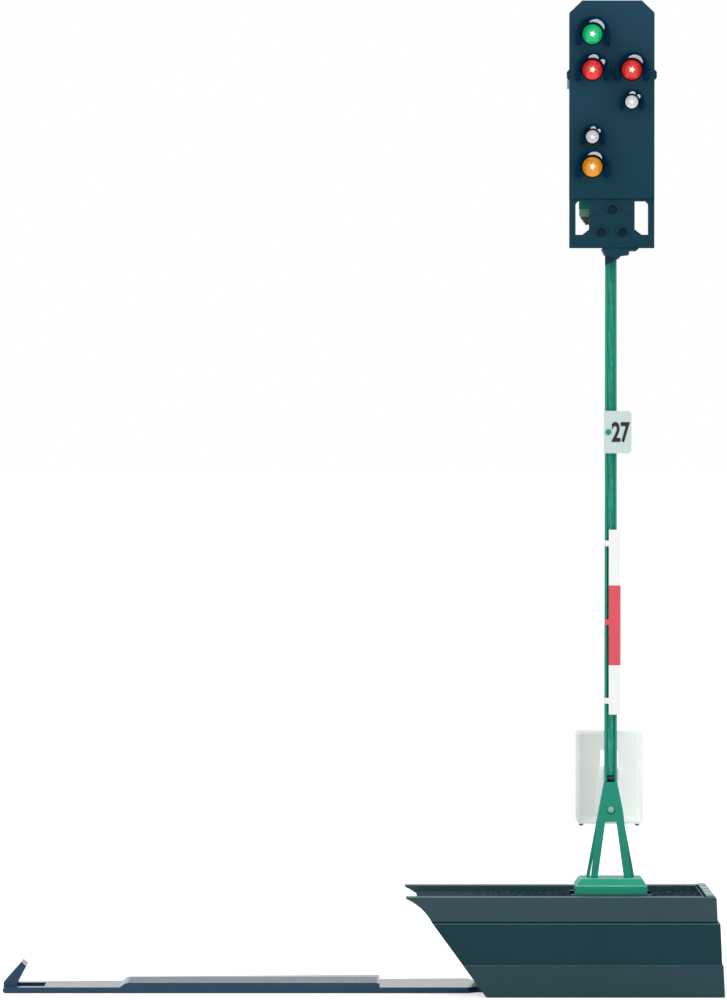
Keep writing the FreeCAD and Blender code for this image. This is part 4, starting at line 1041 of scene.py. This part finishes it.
class SIGNAL_OT_foot(bpy.types.Operator):
    """Finishes the foot plate, the A-shaped legs and the rivet"""

    bl_idname = "signal.foot"
    bl_label = "Foot and legs"

    def execute(self, context):
        looks = context.scene.signal_mast
        paint = mast_paint("signal_green_legs", looks.paint)
        # painted highlight: pale green on the foot's upper edges and on the rivet's head
        rubbed = mast_paint("rubbed_green_edge", looks.rubbed)
        # painted light: the foot's green is lighter than the legs', against the shade from the rim
        # in front
        moulded = mast_paint("moulded_green_foot", looks.foot)
        foot_edge = 1.6 * looks.edge  # the moulded foot is rounder than the metal legs
        soften("foot_plate", foot_edge, moulded, others=(rubbed,))
        soften("front_leg_frame", looks.edge, paint)
        soften("rear_leg_frame", looks.edge, paint)
        low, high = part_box("gusset_rivet")
        centre = Vector(((low.x + high.x) / 2, low.y, (low.z + high.z) / 2))
        radius = (high.x - low.x) / 2
        head = 0.2 * MM
        bm = bmesh.new()
        dome = [
            (radius * math.cos(a), low.y + head * (1 - math.sin(a)))
            for a in (math.pi / 2 * n / 6 for n in range(6, -1, -1))
        ]
        turned(bm, dome + [(radius / 2, low.y + head), (radius / 2, high.y), (0, high.y)], centre)
        bmesh.ops.recalc_face_normals(bm, faces=bm.faces)
        # the rivet's head in the pale paint: a painted highlight
        make_piece("rivet", bm, rubbed, ["gusset_rivet"])
        self.rivet_seat(centre, radius)
        return {"FINISHED"}

    def rivet_seat(self, centre, radius):
        """Painted shadow below the rivet's head: a dark green disc, set a little lower and to the
        right of it.
        """
        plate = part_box("front_leg_frame")[0].y
        wider, proud, sunk = 0.06 * MM, 0.012 * MM, 0.03 * MM
        shadow_middle = centre + Vector((0.02 * MM, 0, -0.05 * MM))
        bm = bmesh.new()
        edge = radius + wider
        front, back = plate - proud, plate + sunk
        turned(bm, [(0, front), (edge, front), (edge, back), (0, back)], shadow_middle, steps=32)
        bmesh.ops.recalc_face_normals(bm, faces=bm.faces)
        # painted shadow: the legs' green, darkened
        gloom = mast_paint("shaded_green_seat", linear("#0b4a44"))
        make_piece("rivet_seat", bm, gloom, ["front_leg_frame"], hides=False)


class SIGNAL_OT_mast(bpy.types.Operator):
    """Finishes the mast's channel and lays the painted wires in it"""

    bl_idname = "signal.mast"
    bl_label = "Mast and wires"

    def execute(self, context):
        looks = context.scene.signal_mast
        soften("mast_channel", looks.edge, mast_paint("signal_green_mast", looks.paint))
        self.wires(looks)
        return {"FINISHED"}

    def wires(self, looks):
        """Five thin wires that waver a little, brushed over with the mast's paint."""
        low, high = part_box("mast_wires")
        radius = (high.y - low.y) / 2
        count, steps, sides = 5, 120, 8
        swelling = 1.08  # the paint makes each wire a little thicker
        sway_across, sway_deep = 0.014 * MM, 0.03 * MM
        step = (high.z - low.z) / steps
        bm = bmesh.new()
        for n in range(count):
            x = low.x + radius + (high.x - low.x - 2 * radius) * n / (count - 1)
            place = Matrix.Translation((x, (low.y + high.y) / 2, low.z))
            ring = bmesh.ops.create_circle(
                bm, cap_ends=False, segments=sides, radius=radius * swelling, matrix=place
            )
            edges = list({edge for vert in ring["verts"] for edge in vert.link_edges})
            bmesh.ops.holes_fill(bm, edges=edges, sides=sides)
            before = Vector((0, 0))
            for k in range(1, steps + 1):
                across = sway_across * math.sin(k * 0.55 + n * 1.9)
                deep = sway_deep * math.sin(k * 0.41 + n * 2.6)
                sway = Vector((across, deep))
                grown = bmesh.ops.extrude_edge_only(bm, edges=edges)["geom"]
                verts = [item for item in grown if isinstance(item, bmesh.types.BMVert)]
                edges = [
                    item
                    for item in grown
                    if isinstance(item, bmesh.types.BMEdge) and set(item.verts) <= set(verts)
                ]
                bmesh.ops.translate(bm, verts=verts, vec=(*(sway - before), step))
                before = sway
            bmesh.ops.holes_fill(bm, edges=edges, sides=sides)
        bmesh.ops.recalc_face_normals(bm, faces=bm.faces)
        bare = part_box("front_leg_frame")[1].z + looks.bare_wire
        # painted light: the wires' paint is lighter than the mast's, against the channel's shade
        wire = painted_wire("painted_lacquered_wire", looks.wire, looks.copper, bare)
        make_piece("painted_wires", bm, wire, ["mast_wires"], crease=60)


class SIGNAL_OT_signs(bpy.types.Operator):
    """Finishes the mast sign and the number plate"""

    bl_idname = "signal.signs"
    bl_label = "Signs"

    def execute(self, context):
        looks = context.scene.signal_signs
        mast = context.scene.signal_mast
        low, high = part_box("mast_sign")
        length = high.z - low.z
        bands = banded_enamel(
            "banded_enamel", looks.white, looks.red,
            low.z + looks.band_low * length, low.z + looks.band_high * length,
        )
        soften("mast_sign", mast.edge, bands)
        # pale enamel on a thin plate, a little blue
        enamel, *_ = mottled(
            "white_enamel", looks.plate, 0.32, 0.15, 0.004, cloud_mm=0.5, amount=0.05
        )
        soften("number_plate", 2 * mast.edge, enamel)
        paint = mast_paint("signal_green_peg", mast.paint)
        soften("plate_strap", mast.edge, paint)
        soften("number_plate_peg", 2 * mast.edge, paint)
        self.digits()
        return {"FINISHED"}

    def digits(self):
        """Two plain printed digits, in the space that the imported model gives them."""
        low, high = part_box("number_plate_digits")
        curve = bpy.data.curves.new("digits", "FONT")
        curve.body = "27"
        curve.size = 1.0
        # thickens the strokes, in the curve's own units, before the digits are scaled
        curve.offset = 0.028
        curve.extrude = 0.5
        curve.bevel_depth = 0.0
        lettering = bpy.data.objects.new("digits", curve)
        bpy.context.scene.collection.objects.link(lettering)
        bpy.context.view_layer.update()
        mesh = bpy.data.meshes.new_from_object(lettering)
        bpy.data.objects.remove(lettering)
        bm = bmesh.new()
        bm.from_mesh(mesh)
        bpy.data.meshes.remove(mesh)
        bmesh.ops.remove_doubles(bm, verts=bm.verts, dist=1e-5)
        bmesh.ops.rotate(
            bm, verts=bm.verts, cent=(0, 0, 0), matrix=Matrix.Rotation(math.pi / 2, 3, "X")
        )
        first = Vector([min(v.co[n] for v in bm.verts) for n in range(3)])
        last = Vector([max(v.co[n] for v in bm.verts) for n in range(3)])
        scale = [(high[n] - low[n]) / (last[n] - first[n]) for n in range(3)]
        bmesh.ops.translate(bm, verts=bm.verts, vec=-first)
        bmesh.ops.scale(bm, verts=bm.verts, vec=scale)
        bmesh.ops.translate(bm, verts=bm.verts, vec=low)
        bmesh.ops.recalc_face_normals(bm, faces=bm.faces)
        # pad-printed ink, slightly broken over the enamel
        ink, *_ = mottled(
            "black_printing_ink", linear("#0c1c22"), 0.4, 0.08, 0.003, cloud_mm=0.3, amount=0.5
        )
        make_piece("printed_digits", bm, ink, ["number_plate_digits"])


class SIGNAL_OT_cabinet(bpy.types.Operator):
    """Finishes the cabinet behind the mast"""

    bl_idname = "signal.cabinet"
    bl_label = "Cabinet"

    def execute(self, context):
        looks = context.scene.signal_cabinet
        pale = self.translucent_painted_glow("natural_polystyrene", looks)
        soften("cabinet_shell", looks.edge, pale, self.marks)
        # grey moulded pegs, an even satin
        dark, *_ = mottled("grey_polystyrene", linear("#7c898b"), 0.4, 0.1, 0.004)
        soften("cabinet_pegs", looks.edge, dark)
        return {"FINISHED"}

    def translucent_painted_glow(self, name, looks):
        """Unpigmented polystyrene: light gathers in it; and painted light: a glow, stronger towards
        its right side.
        """
        material, surface, _, place = mottled(
            name, looks.colour, 0.35, 0.2, 0.004, cloud_mm=2.5, amount=0.05,
            Subsurface_Weight=0.25, Subsurface_Scale=0.6 * MM,
            Emission_Color=(0.76, 0.77, 0.76, 1.0),
        )
        low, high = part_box("cabinet_shell")
        across = add_node(material, "ShaderNodeSeparateXYZ", None, {0: place}).outputs["X"]
        glow = add_node(
            material,
            "ShaderNodeMapRange",
            None,
            {
                "Value": across,
                "From Min": low.x,
                "From Max": high.x,
                "To Min": looks.glow * 0.5,
                "To Max": looks.glow * 1.2,
            },
        )
        strength = surface.inputs["Emission Strength"]
        material.node_tree.links.new(glow.outputs["Result"], strength)
        return material

    def marks(self, bm):
        """The ring marks that ejector pins leave inside, and two low ribs under the hatch."""
        low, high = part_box("cabinet_shell")
        wall, raised = 0.42 * MM, 0.04 * MM
        inside = high.y - wall
        pin, mark, from_end, from_middle = 0.55 * MM, 0.62 * MM, 1.6 * MM, 1.75 * MM
        rib_place, half_rib, rib_depth, rib_edge = 0.95 * MM, 0.08 * MM, 0.35 * MM, 0.03 * MM
        foot, head = low.z + 0.45 * MM, low.z + 3.7 * MM
        middle = (low.x + high.x) / 2
        for side in (-1, 1):
            for z in (low.z + from_end, high.z - from_end):
                centre = Vector((middle + side * from_middle, inside, z))
                add_ring(bm, centre, pin, mark, inside - raised, inside + raised, steps=32)
            x = middle + side * rib_place
            start = (x - half_rib, inside - rib_depth, foot)
            add_box(bm, start, (x + half_rib, inside + raised, head), rib_edge)


class SIGNAL_OT_head(bpy.types.Operator):
    """Finishes the screen, the housing behind it and what carries them"""

    bl_idname = "signal.head"
    bl_label = "Head"

    def execute(self, context):
        looks = context.scene.signal_head
        mast = context.scene.signal_mast
        screen = screen_moulding("moulded_black_out_screen", looks.low, looks.high)
        for node in ("signal_screen", "rear_housing", "mast_collar"):
            soften(node, looks.edge, screen)
        # painted highlight: the catch's tip and its upper edges, pale
        rubbed, *_ = mottled(
            "rubbed_catch", linear("#8fa9a8"), 0.4, 0.1, 0.004, cloud_mm=0.3, amount=0.3
        )
        soften("side_clips", looks.edge, screen, self.catch_tip, (rubbed,))
        soften("lower_panel", looks.edge / 2, screen, self.panel_detail)
        paint = mast_paint("signal_green_carrier", mast.paint)
        soften("head_carrier", mast.edge, paint)
        # pale green ceramic, and the dull film printed on it
        ceramic, *_ = mottled("resistor_ceramic", linear("#7fb5a5"), 0.4, 0.1, 0.004)
        soften("resistor_board", 0.03 * MM, ceramic)
        film, *_ = mottled("resistor_film", linear("#4a5b58"), 0.45, 0.08, 0.006)
        soften("resistor_pack", 0.02 * MM, film)
        return {"FINISHED"}

    def catch_tip(self, bm):
        """The sprung tip below the left catch, pale with a painted highlight."""
        low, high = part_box("side_clips")
        middle = (low.y + high.y) / 2
        inset, width, half_depth, edge = 0.02 * MM, 0.28 * MM, 0.2 * MM, 0.06 * MM
        hang, overlap = 0.75 * MM, 0.1 * MM
        left = low.x + inset
        start = (left, middle - half_depth, low.z - hang)
        end = (left + width, middle + half_depth, low.z + overlap)
        add_box(bm, start, end, edge, 1)

    def panel_detail(self, bm):
        """Visors over the three blind lamps, two moulded arcs, and the brace lines below."""
        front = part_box("lower_panel")[0].y
        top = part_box("signal_screen")[0].z
        relief = 0.05 * MM
        visor_in, visor_out, visor_depth, visor_drop = 0.43 * MM, 0.58 * MM, 0.3 * MM, 0.12 * MM
        for x, drop in ((0.05, 0.95), (0.92, 2.9), (-0.92, 2.9)):
            centre = Vector((x * MM, front, top - drop * MM))
            edges = (visor_in, visor_out, front - visor_depth, front + relief)
            add_arch(bm, centre, *edges, visor_drop, steps=20)
        arc_in, arc_out, arc_drop = 0.28 * MM, 0.37 * MM, 1.55 * MM
        for x in (-1.33, 1.43):
            centre = Vector((x * MM, front, top - arc_drop))
            add_ring(bm, centre, arc_in, arc_out, front - relief, front + relief, steps=28)
        low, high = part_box("lower_panel")
        inset, proud, brace_foot, brace_top, brace_edge = (
            0.1 * MM, 0.06 * MM, low.z + 0.08 * MM, low.z + 0.26 * MM, 0.03 * MM
        )
        start = (low.x + inset, front - proud, brace_foot)
        add_box(bm, start, (high.x - inset, front + relief, brace_top), brace_edge)
        bmesh.ops.recalc_face_normals(bm, faces=bm.faces)


class SIGNAL_OT_hoods(bpy.types.Operator):
    """Finishes the six hoods, with painted highlights on crescents inside their upper right"""

    bl_idname = "signal.hoods"
    bl_label = "Hoods"

    def execute(self, context):
        looks = context.scene.signal_head
        # deep blue polystyrene with a fine spark-eroded skin, which takes its shine away
        matte, *_ = mottled(
            "moulded_matte_hood", looks.hood, 0.6, 0.15, 0.002, Specular_IOR_Level=0.0
        )
        # painted highlight: a pale crescent on the slope inside the hood, which glows a little
        bright, *_ = mottled(
            "bright_facet", linear("#c6d5da"), 0.3, 0.1, 0.004, cloud_mm=0.25, amount=0.25,
            Emission_Color=(0.75, 0.85, 0.88, 1.0), Emission_Strength=0.32,
        )
        for name in LAMPS:
            soften("hood_" + name, looks.edge / 2, matte)
            bm = bmesh.new()
            for start, end in FACETS[name]:
                self.facet(bm, name, math.radians(start), math.radians(end))
            bmesh.ops.recalc_face_normals(bm, faces=bm.faces)
            make_piece("facet_" + name, bm, bright, ["hood_" + name], hides=False)
        return {"FINISHED"}

    def facet(self, bm, name, start, end, steps=24):
        """A crescent between two angles, on the slope from the lens to the hood, for a painted
        highlight.
        """
        centre = lamp_centre(name)
        lens = lens_radius(name)
        low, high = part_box("hood_" + name)
        proud = 0.03 * MM
        foot = lens + 0.1 * MM - proud
        lip = high.z - centre.z - 0.15 * MM - proud
        slope = (high.y - low.y) * 0.97 / (lip - foot)
        root, rim = foot + 0.11 * lens, lip - 0.05 * lens
        base = -(root - foot) * slope
        profile = [(root, base), (rim, -(rim - foot) * slope), (rim, 0.0), (root, 0.0)]
        turn = Matrix.Rotation(-start, 3, "Y")
        points = [bm.verts.new(centre + turn @ Vector((r, y, 0))) for r, y in profile]
        edges = [bm.edges.new((points[n], points[n - 1])) for n in range(4)]
        spun = bmesh.ops.spin(
            bm, geom=points + edges, cent=centre, axis=(0, 1, 0), angle=start - end, steps=steps
        )
        last = [item for item in spun["geom_last"] if isinstance(item, bmesh.types.BMEdge)]
        seen = {vert for edge in (*edges, *last) for vert in edge.verts}
        todo = list(seen)
        while todo:
            for edge in todo.pop().link_edges:
                for vert in edge.verts:
                    if vert not in seen:
                        seen.add(vert)
                        todo.append(vert)
        for vert in seen:
            offset = vert.co - centre
            angle = math.atan2(offset.z, offset.x)
            share = max(0.0, math.sin(math.pi * (angle - start) / (end - start))) ** 0.6
            radius = math.hypot(offset.x, offset.z)
            wanted = root + (radius - root) * share
            place = Vector((offset.x, 0, offset.z)) * (wanted / radius)
            vert.co = centre + place + Vector((0, base + (offset.y - base) * share, 0))
        bmesh.ops.remove_doubles(bm, verts=bm.verts, dist=MERGE)


class SIGNAL_OT_lenses(bpy.types.Operator):
    """Turns the six lenses"""

    bl_idname = "signal.lenses"
    bl_label = "Lenses"

    def execute(self, context):
        looks = context.scene.signal_lamps
        self.gap_shade_rings(looks)
        # colour of the painted glow at each lens's middle
        cores = {"green": "#eafff0", "red": "#fff2d0", "yellow": "#fffbe0", "white": "#f4f5f2"}
        for name, tint in LAMPS.items():
            low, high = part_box("lens_" + name)
            centre = lamp_centre(name)
            radius = lens_radius(name)
            glass = tinted_lens(
                "acrylic_" + name, getattr(looks, tint), linear(cores[tint]), centre, radius, 5
            )
            dome = centre.y - low.y
            curve = [
                (radius * math.sin(a), centre.y - dome * math.cos(a))
                for a in (math.pi / 2 * n / 12 for n in range(13))
            ]
            flange_depth = 0.22 * MM
            flange_y = high.y - flange_depth
            behind = [
                (radius, flange_y),
                (radius + looks.flange, flange_y),
                (radius + looks.flange, high.y),
                (0, high.y),
            ]
            bm = bmesh.new()
            turned(bm, curve + behind, centre, steps=64)
            bmesh.ops.recalc_face_normals(bm, faces=bm.faces)
            make_piece("lens_" + name + "_finished", bm, glass, ["lens_" + name])
        return {"FINISHED"}

    def gap_shade_rings(self, looks):
        """Painted shade round each lens: a thin black ring, where the gap lies unlit."""
        clear, proud, sunk = 0.005 * MM, 0.03 * MM, 0.05 * MM
        bm = bmesh.new()
        for name in LAMPS:
            centre = lamp_centre(name)
            inner = lens_radius(name) + clear
            add_ring(bm, centre, inner, inner + looks.gap, centre.y - proud, centre.y + sunk)
        # a gap that no light reaches: black, with no shine
        gloom, *_ = mottled(
            "unlit_lens_gap", linear("#030c12"), 0.8, 0.1, 0.003, Specular_IOR_Level=0.0
        )
        make_piece("lens_gaps", bm, gloom, ["signal_screen"], hides=False)


class SIGNAL_PT_panel(bpy.types.Panel):
    """Lists the signal's building steps"""

    bl_idname = "SIGNAL_PT_panel"
    bl_label = "Model signal"
    bl_space_type = "VIEW_3D"
    bl_region_type = "UI"
    bl_category = "Signal"

    def draw(self, context):
        for operator in OPERATORS:
            self.layout.operator(operator.bl_idname)


OPERATORS = (
    SIGNAL_OT_stage,
    SIGNAL_OT_base,
    SIGNAL_OT_ballast,
    SIGNAL_OT_electronics,
    SIGNAL_OT_strip,
    SIGNAL_OT_foot,
    SIGNAL_OT_mast,
    SIGNAL_OT_signs,
    SIGNAL_OT_cabinet,
    SIGNAL_OT_head,
    SIGNAL_OT_hoods,
    SIGNAL_OT_lenses,
)
GROUPS = {
    "signal_stage": StageSizes,
    "signal_base": BaseLooks,
    "signal_ballast": BallastLooks,
    "signal_strip": StripLooks,
    "signal_mast": MastLooks,
    "signal_signs": SignLooks,
    "signal_cabinet": CabinetLooks,
    "signal_head": HeadLooks,
    "signal_lamps": LampLooks,
}


def register():
    """Registers the classes and the scene's settings."""
    for group in (*GROUPS.values(), *OPERATORS, SIGNAL_PT_panel):
        bpy.utils.register_class(group)
    for name, group in GROUPS.items():
        setattr(bpy.types.Scene, name, PointerProperty(type=group))


def unregister():
    """Takes them off again."""
    for name in GROUPS:
        delattr(bpy.types.Scene, name)
    for group in reversed((*GROUPS.values(), *OPERATORS, SIGNAL_PT_panel)):
        bpy.utils.unregister_class(group)


def main():
    """Builds everything in order."""
    register()
    for operator in OPERATORS:
        area, name = operator.bl_idname.split(".")
        getattr(getattr(bpy.ops, area), name)()


if __name__ == "__main__":
    main()
